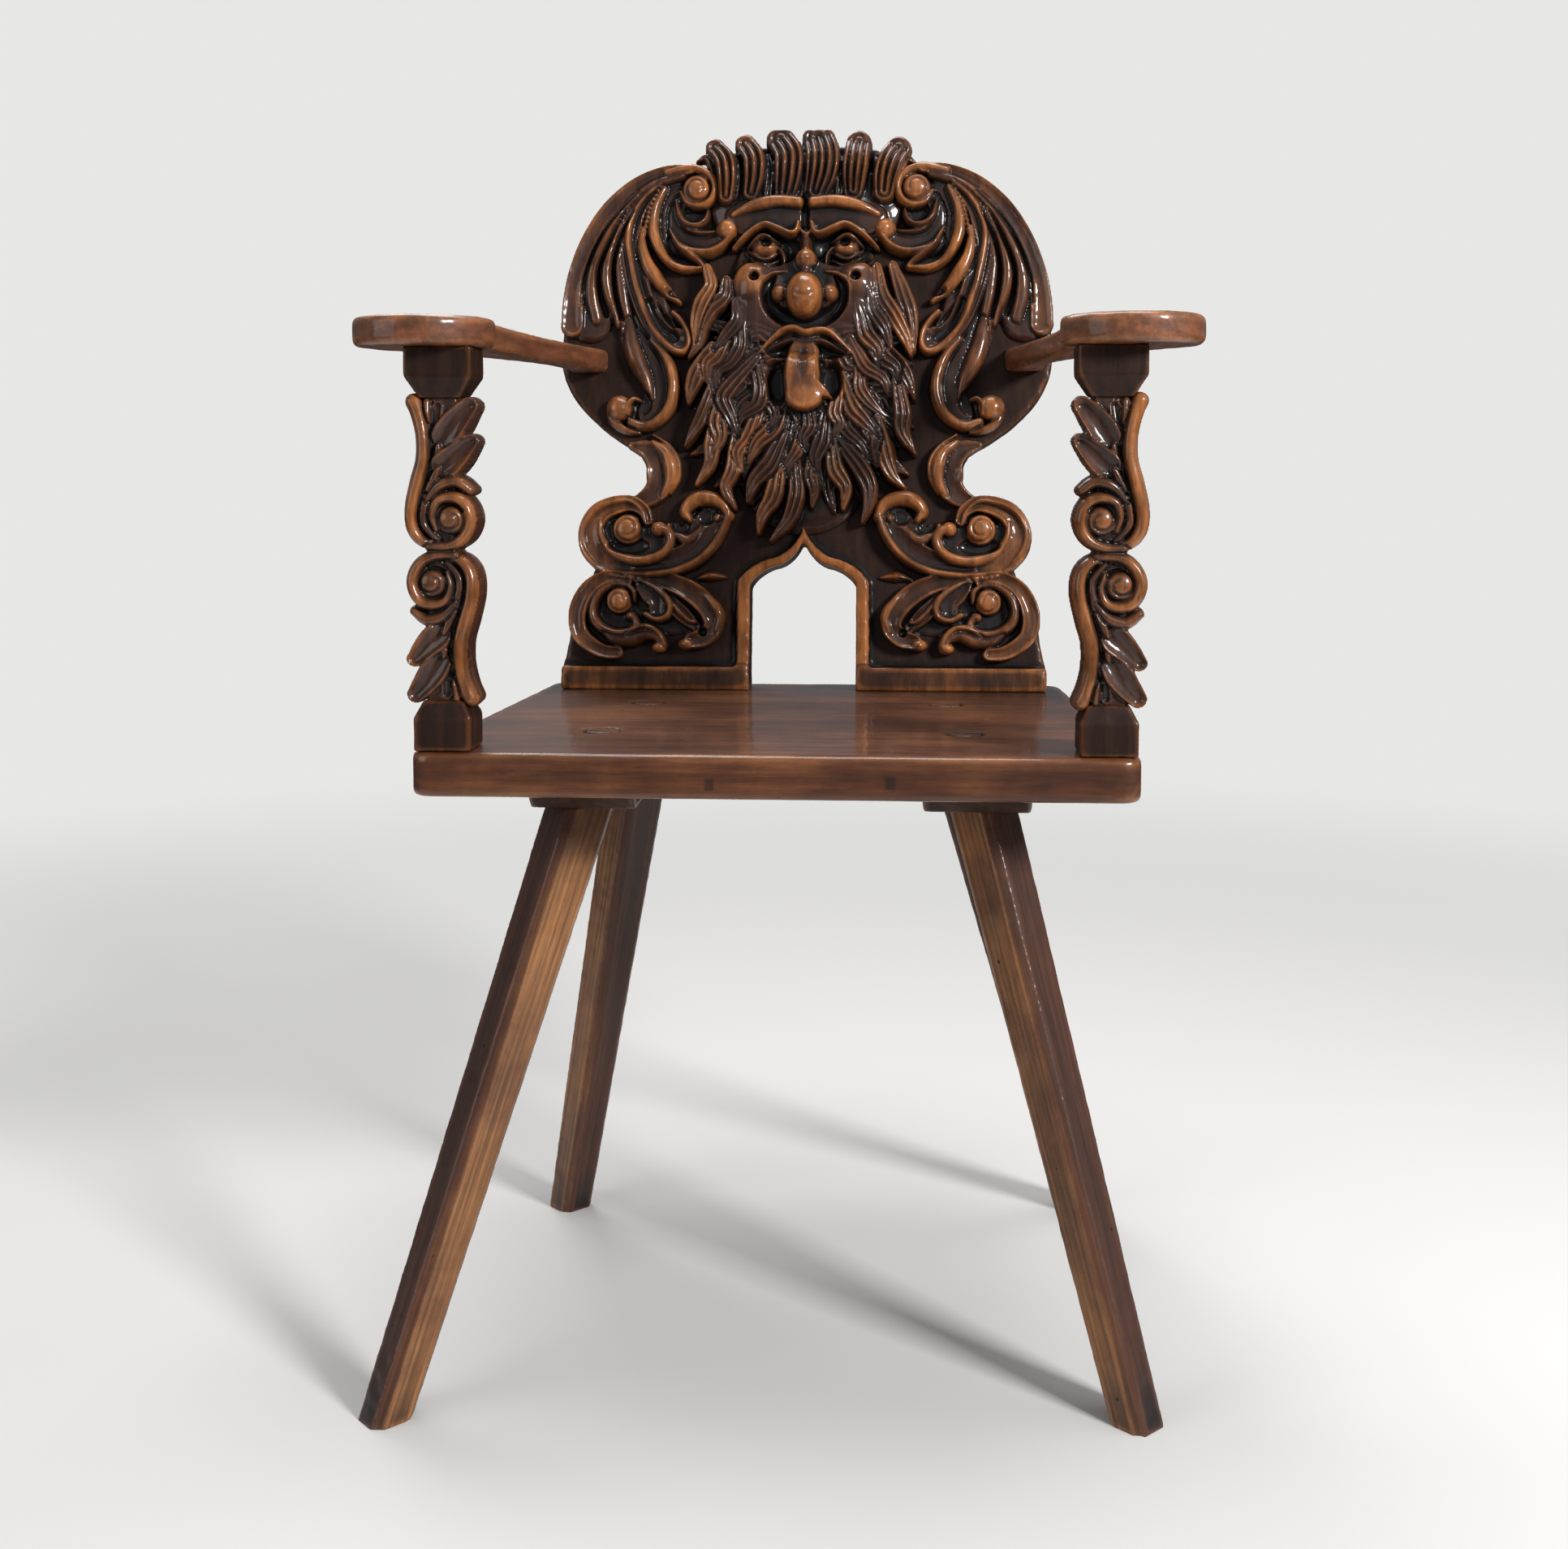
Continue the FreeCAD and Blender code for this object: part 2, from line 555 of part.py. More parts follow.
def make_arm():
    """The right arm: a disc-ended board that narrows to its neck and is tenoned through the back."""
    disc_x = ARM_REACH - ARM_DISC_RADIUS
    rear = arm_rear_centre()
    rear_y = BACK_FRONT + ARM_RISE * math.tan(math.radians(BACK_RAKE)) + BACK_THICK
    neck_x = POST_OFFSET - ARM_NECK_SHIFT
    lead = math.radians(ARM_LEAD)
    off = ARM_DISC_RADIUS * math.cos(lead)
    back_off = ARM_DISC_RADIUS * math.sin(lead)
    inner = V(disc_x - off, ARM_DISC_Y + back_off, ARM_UNDER)
    outer = V(disc_x + off, ARM_DISC_Y + back_off, ARM_UNDER)
    front = V(disc_x, ARM_DISC_Y - ARM_DISC_RADIUS, ARM_UNDER)
    rear_inner = V(rear - ARM_REAR_WIDTH / 2, rear_y, ARM_UNDER)
    rear_outer = V(rear + ARM_REAR_WIDTH / 2, rear_y, ARM_UNDER)
    neck_inner = V(neck_x - ARM_NECK / 2, ARM_NECK_Y, ARM_UNDER)
    neck_outer = V(neck_x + ARM_NECK / 2, ARM_NECK_Y, ARM_UNDER)
    edges = [Part.Arc(outer, front, inner).toShape(), Part.Arc(inner, neck_inner, rear_inner).toShape(),
             Part.makeLine(rear_inner, rear_outer), Part.Arc(rear_outer, neck_outer, outer).toShape()]
    board = Part.Face(Part.Wire(edges)).extrude(V(0, 0, ARM_THICK))
    hollows = [e for e in board.Edges if e.BoundBox.ZLength > 1 and e.BoundBox.YMax < ARM_NECK_Y]
    board = board.makeFillet(ARM_HOLLOW, hollows)
    level = [e for e in board.Edges if e.BoundBox.ZLength < 1e-6 and e.BoundBox.YMin < rear_y - 1]
    board = board.makeFillet(ARM_EASE, level).cut(behind(0))
    tenon = arm_tenon(1, 0).common(behind(0)).cut(behind(BACK_THICK + TENON_PROUD))
    return board.fuse(tenon).removeSplitter()


def make_post():
    """The left post: base block, leaf, two facing scrolls, leaf and capital block, with its tenons."""
    half = POST_BLOCK_WIDTH / 2
    neck = half - POST_NECK_INSET
    flare = half + POST_CAPITAL_FLARE
    spread = POST_SPREAD / 2
    neck_low = POST_BLOCK_TALL + POST_BASE_CHAMFER
    wide = POST_TALL - POST_CAPITAL_TALL
    cove = wide - POST_CAPITAL_COVE
    neck_high = cove - POST_CAPITAL_NECK
    foot = neck_low + POST_CARVING_GAP
    tall = neck_high - POST_CARVING_GAP - foot
    outer = [V(u * spread, 0, foot + v * tall) for u, v in POST_OUTER]
    inner = [V(u * spread, 0, foot + v * tall) for u, v in reversed(POST_INNER)]
    capital = ((-neck, neck_high), (-neck, cove), (-half, wide), (-flare, POST_TALL), (flare, POST_TALL),
               (half, wide), (neck, cove), (neck, neck_high))
    block = ((neck, neck_low), (half, POST_BLOCK_TALL), (half, 0), (-half, 0), (-half, POST_BLOCK_TALL),
             (-neck, neck_low))
    edges = []
    for side, corners, end in ((outer, capital, inner[0]), (inner, block, outer[0])):
        curve = Part.BSplineCurve()
        curve.interpolate(side)
        edges.append(curve.toShape())
        chain = [side[-1]] + [V(x, 0, z) for x, z in corners] + [end]
        edges += [Part.makeLine(a, b) for a, b in zip(chain, chain[1:])]
    body = Part.Face(Part.Wire(Part.__sortEdges__(edges))).extrude(V(0, POST_DEPTH, 0))
    deep = V(0, 1, 0)
    scrolls = []
    for u, v in POST_EYES:
        eye = V(u * spread, -POST_BEAD, foot + v * tall)
        scrolls.append(Part.makeCylinder(POST_EYE_RADIUS, POST_DEPTH + 2 * POST_BEAD, eye, deep))
        ring = Part.makeCylinder(POST_RING_RADIUS, POST_DEPTH + POST_BEAD, eye + deep * (POST_BEAD / 2), deep)
        scrolls.append(ring.cut(Part.makeCylinder(POST_RING_HOLE, FAR, eye - deep * POST_BEAD, deep)))
    body = body.fuse(scrolls)
    body.translate(V(-POST_OFFSET, POST_SETBACK, SEAT_HEIGHT))
    pins = [post_pin(POST_FOOT_TENON, SEAT_UNDER, SEAT_HEIGHT),
            post_pin(POST_HEAD_TENON, ARM_UNDER, ARM_UNDER + POST_HEAD_TENON_LENGTH)]
    return body.fuse(pins).removeSplitter()


def post_pin(diameter, low, high):
    """A round tenon of the left post between two heights."""
    return Part.makeCylinder(diameter / 2, high - low, V(-POST_OFFSET, POST_CENTRE_Y, low))


def ground(points):
    """The low ground that a carving's ridges stand on."""
    corners = [at(p) for p in points]
    return Part.Face(Part.makePolygon(corners + corners[:1])).extrude(V(0, 0, GROUND_HEIGHT))


def make_leaf():
    """The left shoulder's leaf: a low ground with lobes fanning down from the curled top."""
    pieces = [drawn_ridge(line, widths, LEAF_HEIGHT * share) for line, widths, share in LEAF_LOBES]
    pieces.append(boss(LEAF_EYE, LEAF_EYE_RADIUS, LEAF_HEIGHT * LEAF_EYE_LIFT))
    return ground(LEAF_GROUND).multiFuse(pieces)


def make_waist():
    """The scroll that bends round the left waist."""
    return drawn_ridge(WAIST_LINE, WAIST_WIDTH, SCROLL_HEIGHT, CUPPED)


def make_scrolls():
    """The left volute and base scroll with their eyes and sprigs."""
    volute = spiral(VOLUTE_EYE, VOLUTE_START, VOLUTE_END, VOLUTE_TURN)
    volute += [at(p) for p in VOLUTE_TAIL]
    base = spiral(BASE_EYE, BASE_START, BASE_END, BASE_TURN)
    pieces = [
        ridge(volute, VOLUTE_WIDTH, SCROLL_HEIGHT, CUPPED, 1),
        ridge(base, BASE_WIDTH, SCROLL_HEIGHT, CUPPED, 1),
        drawn_ridge(BASE_BRANCH, BASE_BRANCH_WIDTH, SCROLL_HEIGHT, CUPPED),
        drawn_ridge(VOLUTE_SPRIG, SPRIG_WIDTH, SCROLL_HEIGHT),
        drawn_ridge(HUSK, SPRIG_WIDTH, SCROLL_HEIGHT),
        boss(VOLUTE_EYE, EYE_RADIUS, SCROLL_HEIGHT),
        boss(BASE_EYE, EYE_RADIUS, SCROLL_HEIGHT),
    ]
    pieces += [drawn_ridge(line, SPRIG_WIDTH, SCROLL_HEIGHT) for line in BASE_SPRIGS]
    return ground(SCROLL_GROUND).multiFuse(pieces)


def both(line):
    """A line of the drawing and the same line on the other side."""
    return (line, tuple(mirrored_point(p) for p in line))


def make_head():
    """The bearded mask: face, brows, nose, tongue, upright hair and the locks of the beard."""
    pieces = [egg(BEARD_EGG, BEARD_HEIGHT * BEARD_CORE)]
    for line, widths in HAIR_LOCKS:
        pieces.append(drawn_ridge(line, widths, HAIR_HEIGHT))
    for line, widths in BEARD_LOCKS:
        pieces.append(drawn_ridge(line, widths, BEARD_HEIGHT))
    for line in both(BROW_LINE):
        pieces.append(drawn_ridge(line, BROW_WIDTH, FACE_HEIGHT * BROW_LIFT))
    for line in both(FOREHEAD_FOLD):
        pieces.append(drawn_ridge(line, FOREHEAD_WIDTH, FACE_HEIGHT))
    for line in both(LIP_LINE):
        pieces.append(drawn_ridge(line, LIP_WIDTH, FACE_HEIGHT * LIP_LIFT))
    pieces.append(drawn_ridge(TONGUE, TONGUE_WIDTH, FACE_HEIGHT * TONGUE_LIFT))
    pieces.append(egg(NOSE_TIP, NOSE_HEIGHT, FACE_HEIGHT))
    pieces.append(egg(NOSE_BRIDGE, NOSE_HEIGHT * BRIDGE_SHARE, FACE_HEIGHT * BRIDGE_WALL))
    for (centre, halves), lift in ((NOSTRIL, NOSTRIL_LIFT), (CHEEK, CHEEK_LIFT), (EYEBALL, EYEBALL_LIFT)):
        for spot in both((centre,)):
            pieces.append(egg((spot[0], halves), FACE_HEIGHT * lift, FACE_HEIGHT * FEATURE_WALL))
    pieces.append(egg(FACE_EGG, FACE_HEIGHT))
    return ground(HEAD_GROUND).multiFuse(pieces)


def raked(shape):
    """A carving placed on the raked face of the back."""
    placed = shape.copy()
    placed.Placement = RAKED.multiply(placed.Placement)
    return placed


LEGS = {
    "front_left": (FRONT_LEFT_FOOT, (-FRONT_TENON_X, FRONT_TENON_Y)),
    "front_right": (FRONT_RIGHT_FOOT, (FRONT_TENON_X, FRONT_TENON_Y)),
    "rear_left": (REAR_LEFT_FOOT, (-REAR_TENON_X, REAR_TENON_Y)),
    "rear_right": (REAR_RIGHT_FOOT, (REAR_TENON_X, REAR_TENON_Y)),
}
SIDES = (("left", -1), ("right", 1))


def build():
    """All the chair's pieces by name, standing on the floor."""
    nodes = {}
    seat = make_seat_blank()
    battens = {name: make_batten(side) for name, side in SIDES}
    for name, side in SIDES:
        seat = seat.cut(make_batten(side, TENON_CLEARANCE))
        seat = seat.cut(back_tenon(side, TENON_CLEARANCE))
    for name, (foot, head) in LEGS.items():
        leg, axis = make_leg(foot, head)
        pin = wedge(V(head[0], head[1], SEAT_HEIGHT), axis * -1, V(0, 1, 0), LEG_TENON)
        pin = pin.common(leg_bore(foot, head, LEG_TENON)).common(slab(0, SEAT_HEIGHT))
        nodes["leg_" + name] = leg.cut(pin)
        nodes["leg_wedge_" + name] = pin
        bore = leg_bore(foot, head, LEG_TENON + 2 * TENON_CLEARANCE)
        seat = seat.cut(bore)
        side = name.split("_")[1]
        battens[side] = battens[side].cut(bore)
    back = make_back()
    arm = make_arm()
    post = make_post()
    head = raked(make_head())
    left = {"leaf": make_leaf(), "waist": make_waist(), "scrolls": make_scrolls()}
    for name, side in SIDES:
        turned = (lambda s: s) if side < 0 else mirrored
        side_arm = arm if side > 0 else mirrored(arm)
        side_post = turned(post)
        foot_pin = turned(post_pin(POST_FOOT_TENON + 2 * TENON_CLEARANCE, 0, SEAT_HEIGHT + 1))
        head_pin = turned(post_pin(POST_HEAD_TENON + 2 * TENON_CLEARANCE, SEAT_HEIGHT,
                                   ARM_UNDER + POST_HEAD_TENON_LENGTH + TENON_CLEARANCE))
        seat = seat.cut(foot_pin)
        side_arm = side_arm.cut(head_pin)
        x = side * POST_OFFSET
        pin = wedge(V(x, POST_CENTRE_Y, SEAT_UNDER), V(0, 0, 1), V(0, 1, 0), POST_FOOT_TENON)
        pin = pin.common(turned(post_pin(POST_FOOT_TENON, 0, SEAT_HEIGHT)))
        nodes["arm_post_" + name] = side_post.cut(pin)
        nodes["post_wedge_" + name] = pin
        axis = RAKED.Rotation.multVec(V(0, 1, 0))
        run = (SEAT_THICK + TENON_PROUD) / axis.z
        middle = RAKED.multVec(V(side * BACK_TENON_OFFSET, 0, -BACK_THICK / 2))
        start = middle - axis * (run + (middle.z - SEAT_HEIGHT) / axis.z)
        pin = wedge(start, axis, V(1, 0, 0), BACK_TENON_THICK)
        pin = pin.common(slab(SEAT_UNDER - TENON_PROUD, SEAT_HEIGHT))
        back = back.cut(pin)
        nodes["back_wedge_" + name] = pin
        rake = math.radians(BACK_RAKE)
        level = ARM_UNDER + ARM_THICK / 2
        plank = (BACK_THICK + TENON_PROUD) / math.cos(rake)
        arm_end_y = BACK_FRONT + (level - SEAT_HEIGHT) * math.tan(rake) + plank
        start = V(side * arm_rear_centre(), arm_end_y, level)
        pin = wedge(start, V(0, -1, 0), V(1, 0, 0), ARM_TENON_THICK).cut(behind(BACK_THICK + TENON_PROUD))
        nodes["arm_" + name] = side_arm.cut(pin)
        nodes["arm_wedge_" + name] = pin
        landing_wide = ARM_REAR_WIDTH + 2 * CARVING_CLEARANCE
        landing_tall = ARM_THICK + 2 * CARVING_CLEARANCE
        corner = V(side * arm_rear_centre() - landing_wide / 2, BACK_FRONT - SEAT_DEPTH / 2,
                   ARM_UNDER - CARVING_CLEARANCE)
        landing = Part.makeBox(landing_wide, SEAT_DEPTH, landing_tall, corner)
        leaf = raked(turned(left["leaf"])).cut([landing, head])
        nodes["carved_leaf_" + name] = leaf
        nodes["carved_waist_" + name] = raked(turned(left["waist"]))
        nodes["carved_scrolls_" + name] = raked(turned(left["scrolls"])).cut(nodes["carved_waist_" + name])
    nodes["carved_head"] = head
    nodes["back_plank"] = back
    nodes["seat_plank"] = seat
    for name, side in SIDES:
        nodes["batten_" + name] = battens[name]
    return nodes


def stand(nodes):
    """Move every piece so that the origin is under the middle of the whole chair, on the floor."""
    box = FreeCAD.BoundBox()
    for shape in nodes.values():
        box.add(shape.optimalBoundingBox())
    shift = V(-(box.XMin + box.XMax) / 2, -(box.YMin + box.YMax) / 2, -box.ZMin)
    for name in nodes:
        nodes[name] = nodes[name].translated(shift)
    return shift


NODES = build()
SHIFT = stand(NODES)
os.makedirs("parts", exist_ok=True)
for node_name, node_shape in NODES.items():
    node_shape.exportStep("parts/" + node_name + ".step")
    print(node_name, len(node_shape.Solids), round(node_shape.Volume), node_shape.isValid())
print("shift", SHIFT)
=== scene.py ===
"""Carved plank armchair: the looks of every piece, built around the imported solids."""
import logging
import math
from dataclasses import dataclass, field, replace
from enum import Enum

import bmesh
import bpy
import numpy as np
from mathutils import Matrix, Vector


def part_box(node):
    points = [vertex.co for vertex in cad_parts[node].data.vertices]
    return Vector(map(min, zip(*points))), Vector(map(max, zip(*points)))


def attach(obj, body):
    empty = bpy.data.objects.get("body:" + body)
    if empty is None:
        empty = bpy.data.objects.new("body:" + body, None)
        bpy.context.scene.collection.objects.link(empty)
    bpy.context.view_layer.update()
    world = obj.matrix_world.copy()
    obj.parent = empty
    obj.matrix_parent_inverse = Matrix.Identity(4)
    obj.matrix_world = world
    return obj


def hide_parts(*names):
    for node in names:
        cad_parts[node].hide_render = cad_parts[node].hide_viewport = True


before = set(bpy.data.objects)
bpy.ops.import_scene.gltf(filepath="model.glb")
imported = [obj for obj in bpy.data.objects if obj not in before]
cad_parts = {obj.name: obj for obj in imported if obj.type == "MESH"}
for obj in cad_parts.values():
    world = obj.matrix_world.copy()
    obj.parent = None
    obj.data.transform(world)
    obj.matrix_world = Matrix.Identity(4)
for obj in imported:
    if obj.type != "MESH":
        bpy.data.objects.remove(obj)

LOG = logging.getLogger("plank_chair")
MM = 0.001
BODY = "root"
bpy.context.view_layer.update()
BOTH_SIDES = (-1.0, 1.0)
FACINGS = {"front": 1.0, "rear": -1.0}

Point = tuple[float, float]
Triple = tuple[float, float, float]
Colour = tuple[float, float, float, float]
Cells = tuple[np.ndarray, ...]

# Drawn lines: how far apart their points are in millimetres, and how many a first search steps over
CURVE_STEP = 0.5
COARSE_STEP = 8
SWELL_EASE = 0.08

# Cross-sections of a ridge, as shares of its half width and height, with the beads in millimetres
ROUND_POWER = 2.4
FLAT_WALL = 4.0
FLAT_POWER = 0.6
RIM_PLACE = 0.84
FLUTE_DEPTH = 0.30
FLUTE_POWER = 2.2
CREST_POWER = 1.25
LOCK_POWER = 4
STRAND_DEPTH = 0.58
STRAND_POWER = 0.8
BEAD_DEPTH = 0.22
BEAD_PITCH = 4.4

# Eye of a volute, as shares of its height and radius, with its groove in millimetres
EYE_FOOT = 0.3
EYE_FULLNESS = 0.35
SPIRAL_POINTS = 18
SPIRAL_START = 0.6
SPIRAL_REACH = (0.94, 0.38)
SPIRAL_WIDTH = (1.5, 1.2, 0.8)
SPIRAL_DEPTH = (4.0, 3.0, 1.6)

# Tool marks as a reach in cells and a share, and hollows, darkened for dirt and for painted shade, as a
# reach, a depth and a share
TOOL_MARKS = ((2, 0.4), (6, 0.6))
TOOL_LEVEL = 1.5
HOLLOWS = ((1.6, 0.8, 0.33), (4.8, 3.6, 0.33), (13.0, 8.0, 0.34))
PIT_STEEP = 1.3
BARE_TONE = 0.2

# Rims, walls and undersides of the carved pieces
RIM_PASSES = 4
WALL_PASSES = 6
WALL_SLOPE = 0.6
WALL_WEAR = 0.6
WALL_TONE = 0.5
UNDERSIDE_WEAR = 0.1
SEAM = 1e-4
WELD = 1e-6

# Wear of plain timber: passes over neighbouring spots, and how strongly each effect shows
WIDE_PASSES = 4
PROUD_PASSES = 3
PROUD_GAIN = 1.5
RIPPLE_PASSES = 10
RIPPLE_LIMIT = 2.0
FLAT_WEAR = 0.5
TENON_END = 6.0


class Section(Enum):
    """Cross-section that a gouge leaves on a carved ridge."""

    ROUND = "round"
    FLAT = "flat"
    FLUTE = "flute"
    CREST = "crest"
    COVE = "cove"
    STRANDS = "strands"
    BEADED = "beaded"

    def crown(self, across: np.ndarray, length: np.ndarray, strands: int) -> np.ndarray:
        """Works out the share of the full height across a ridge.

        Args:
            across: place across the ridge, from -1 to 1.
            length: length along the ridge.
            strands: strands of a lock.

        Returns:
            Share of the full height, from 0 to 1.
        """
        edge = np.abs(across)
        body = np.sqrt(np.clip(1.0 - edge**ROUND_POWER, 0.0, 1.0))
        if self is Section.FLAT:
            return np.clip((1.0 - edge) * FLAT_WALL, 0.0, 1.0) ** FLAT_POWER
        if self is Section.FLUTE:
            rise = np.clip(edge / RIM_PLACE, 0.0, 1.0) ** FLUTE_POWER
            wall = np.clip((edge - RIM_PLACE) / (1.0 - RIM_PLACE), 0.0, 1.0)
            return (1.0 - FLUTE_DEPTH + FLUTE_DEPTH * rise) * np.sqrt(1.0 - wall * wall)
        if self is Section.CREST:
            return np.clip(1.0 - edge**CREST_POWER, 0.0, 1.0)
        if self is Section.COVE:
            return 0.5 + 0.5 * np.cos(math.pi * edge)
        if self is Section.STRANDS:
            strand = np.abs(np.sin(0.5 * math.pi * strands * (across + 1.0)))
            bulk = np.sqrt(np.clip(1.0 - edge**LOCK_POWER, 0.0, 1.0))
            return bulk * (1.0 - STRAND_DEPTH + STRAND_DEPTH * strand**STRAND_POWER)
        if self is Section.BEADED:
            bead = 0.5 + 0.5 * np.cos(2.0 * math.pi * length / BEAD_PITCH)
            return body * (1.0 - BEAD_DEPTH * (1.0 - bead))
        return body


class Side(Enum):
    """Left or right half of the chair, as the sitter's front is seen."""

    LEFT = "left"
    RIGHT = "right"

    @property
    def sign(self) -> float:
        """Factor that turns a left-hand drawing to this side."""
        return 1.0 if self is Side.LEFT else -1.0


class Grain(Enum):
    """Axis along which the fibres of a piece run, as scales of X, Y and Z."""

    ACROSS = (2.2, 26.0, 26.0)
    DEEP = (26.0, 2.2, 26.0)
    UPRIGHT = (26.0, 26.0, 2.2)
    STICK = (62.0, 62.0, 1.7)


# Carving


@dataclass(frozen=True)
class Stroke:
    """One carved ridge, drawn on the left half in millimetres.

    Width is the half width at its start, middle and end, and height the crest above the ground.
    Tone says how far rubbing has brought out the amber of the wood.
    """

    path: tuple[Point, ...]
    width: Triple
    height: Triple
    section: Section = Section.ROUND
    tone: float = 0.35
    strands: int = 3
    foot: float = 0.0
    blend: float = 0.0
    over: float = 0.0


@dataclass(frozen=True)
class Dome:
    """One rounded boss: a volute's eye, a cheek or the tip of a nose."""

    centre: Point
    radii: Point
    top: float
    foot: float = 0.0
    tone: float = 0.35
    fullness: float = 0.5
    blend: float = 0.0


def smooth_line(path: tuple[Point, ...]) -> np.ndarray:
    """Samples a flowing line through given points.

    Args:
        path: the drawn points.

    Returns:
        Points along the line about CURVE_STEP apart.
    """
    nodes = np.array(path, float)
    before = 2.0 * nodes[0] - nodes[1]
    after = 2.0 * nodes[-1] - nodes[-2]
    nodes = np.vstack([before, nodes, after])
    spans = []
    # A cubic from b to c, whose slopes come from the points before and after them
    for a, b, c, d in zip(nodes[:-3], nodes[1:-2], nodes[2:-1], nodes[3:]):
        count = max(2, int(np.linalg.norm(c - b) / CURVE_STEP))
        t = np.linspace(0.0, 1.0, count, endpoint=False)[:, None]
        curve = 2.0 * b + (c - a) * t + (2.0 * a - 5.0 * b + 4.0 * c - d) * t**2
        spans.append(0.5 * (curve + (3.0 * b - a - 3.0 * c + d) * t**3))
    spans.append(nodes[-2:-1])
    return np.vstack(spans)


def mirror(sign: float, *path: Point) -> tuple[Point, ...]:
    """Path drawn on the right half, turned to the side that the sign gives."""
    return tuple((sign * u, v) for u, v in path)


def swell(values: Triple, along: np.ndarray) -> np.ndarray:
    """Value at each share of a stroke's length, from its start, middle and end."""
    eased = along + SWELL_EASE * np.sin(2.0 * math.pi * along)
    return np.interp(eased, (0.0, 0.5, 1.0), values)


def box_blur(values: np.ndarray, radius: int) -> np.ndarray:
    """Blurs a table by three box passes, close to a Gaussian.

    Args:
        values: the table.
        radius: reach of a pass in cells.

    Returns:
        The blurred table.
    """
    result = values
    span = 2 * radius + 1
    for _ in range(3):
        for axis in (0, 1):
            pad = [(0, 0), (0, 0)]
            pad[axis] = (radius + 1, radius)
            total = np.cumsum(np.pad(result, pad, mode="edge"), axis=axis)
            ahead = np.take(total, range(span, total.shape[axis]), axis=axis)
            behind = np.take(total, range(0, total.shape[axis] - span), axis=axis)
            result = (ahead - behind) / span
    return result


class Relief:
    """A carved surface held as heights over a flat drawing, in millimetres."""

    def __init__(self, low: Point, high: Point, step: float) -> None:
        """Lays out bare ground between two corners of the drawing.

        Args:
            low: lowest corner of the drawing.
            high: highest corner of the drawing.
            step: side of a cell.
        """
        self.step = step
        self.drift = 0.0
        self.u = np.arange(low[0], high[0] + step, step)
        self.v = np.arange(low[1], high[1] + step, step)
        self.grid_u, self.grid_v = np.meshgrid(self.u, self.v)
        self.height = np.zeros_like(self.grid_u)
        self.tone = np.full_like(self.grid_u, BARE_TONE)

    def _near(self, line: np.ndarray, reach: float) -> Cells:
        """Finds the cells within reach of a line, with their place along and beside it.

        Args:
            line: points of the line.
            reach: greatest distance of a cell.

        Returns:
            Row and column of each cell, its share along the line, its length along it and its
            signed distance.
        """
        low = line.min(axis=0) - reach
        high = line.max(axis=0) + reach
        rows = np.nonzero((self.v >= low[1]) & (self.v <= high[1]))[0]
        columns = np.nonzero((self.u >= low[0]) & (self.u <= high[0]))[0]
        row, column = (a.ravel() for a in np.meshgrid(rows, columns, indexing="ij"))
        spots = np.column_stack([self.u[column], self.v[row]])
        # A rough search drops most cells before each point of the line is tried
        coarse = line[::COARSE_STEP]
        gap = ((spots[:, None, :] - coarse[None, :, :]) ** 2).sum(axis=2).min(axis=1)
        keep = gap < (reach + COARSE_STEP * CURVE_STEP) ** 2
        row, column, spots = row[keep], column[keep], spots[keep]
        square = ((spots[:, None, :] - line[None, :, :]) ** 2).sum(axis=2)
        nearest = square.argmin(axis=1)
        distance = np.sqrt(square[np.arange(len(spots)), nearest])
        lengths = np.concatenate([[0.0], np.cumsum(np.linalg.norm(np.diff(line, axis=0), axis=1))])
        tangent = np.gradient(line, axis=0)[nearest]
        offset = spots - line[nearest]
        side = np.sign(tangent[:, 0] * offset[:, 1] - tangent[:, 1] * offset[:, 0])
        share = lengths[nearest] / lengths[-1]
        return row, column, share, lengths[nearest], side * distance

    def _under(self, stroke: Stroke) -> tuple[Cells, np.ndarray, np.ndarray]:
        """Finds the cells under a stroke.

        Args:
            stroke: the ridge or groove.

        Returns:
            Rows and columns of the cells, the share of the full height at each and that full height.
        """
        line = smooth_line(stroke.path) + np.array((self.drift, 0.0))
        row, column, share, length, offset = self._near(line, max(stroke.width))
        across = offset / swell(stroke.width, share)
        inside = np.abs(across) < 1.0
        crown = stroke.section.crown(across[inside], length[inside], stroke.strands)
        return (row[inside], column[inside]), crown, swell(stroke.height, share[inside])

    def _raise(self, spot: Cells, value: np.ndarray, tone: float, blend: float) -> None:
        """Lets a new form stand where it is the higher one.

        Args:
            spot: rows and columns of its cells.
            value: its heights there.
            tone: its tone.
            blend: how softly it runs into what is there.
        """
        was = self.height[spot]
        self.tone[spot] = np.where(value > was, tone, self.tone[spot])
        top = np.maximum(was, value)
        if blend > 0.0:
            near = np.clip(blend - np.abs(was - value), 0.0, None) / blend
            top = top + near * near * blend * 0.25
        self.height[spot] = top

    def lay(self, *strokes: Stroke) -> None:
        """Raises ridges where they stand higher than what is there.

        Args:
            strokes: the ridges, of which one with an over also covers what is that much higher.
        """
        for stroke in strokes:
            spot, crown, crest = self._under(stroke)
            value = stroke.foot + (crest - stroke.foot) * crown
            self._raise(spot, value, stroke.tone, stroke.blend)
            if stroke.over > 0.0:
                hidden = self.height[spot] < value + stroke.over
                self.height[spot] = np.where(hidden, value, self.height[spot])
                self.tone[spot] = np.where(hidden, stroke.tone, self.tone[spot])

    def cut(self, *strokes: Stroke) -> None:
        """Sinks grooves.

        Args:
            strokes: the grooves, with their depth as the height.
        """
        for stroke in strokes:
            spot, crown, depth = self._under(stroke)
            self.height[spot] = np.maximum(self.height[spot] - depth * crown, 0.0)

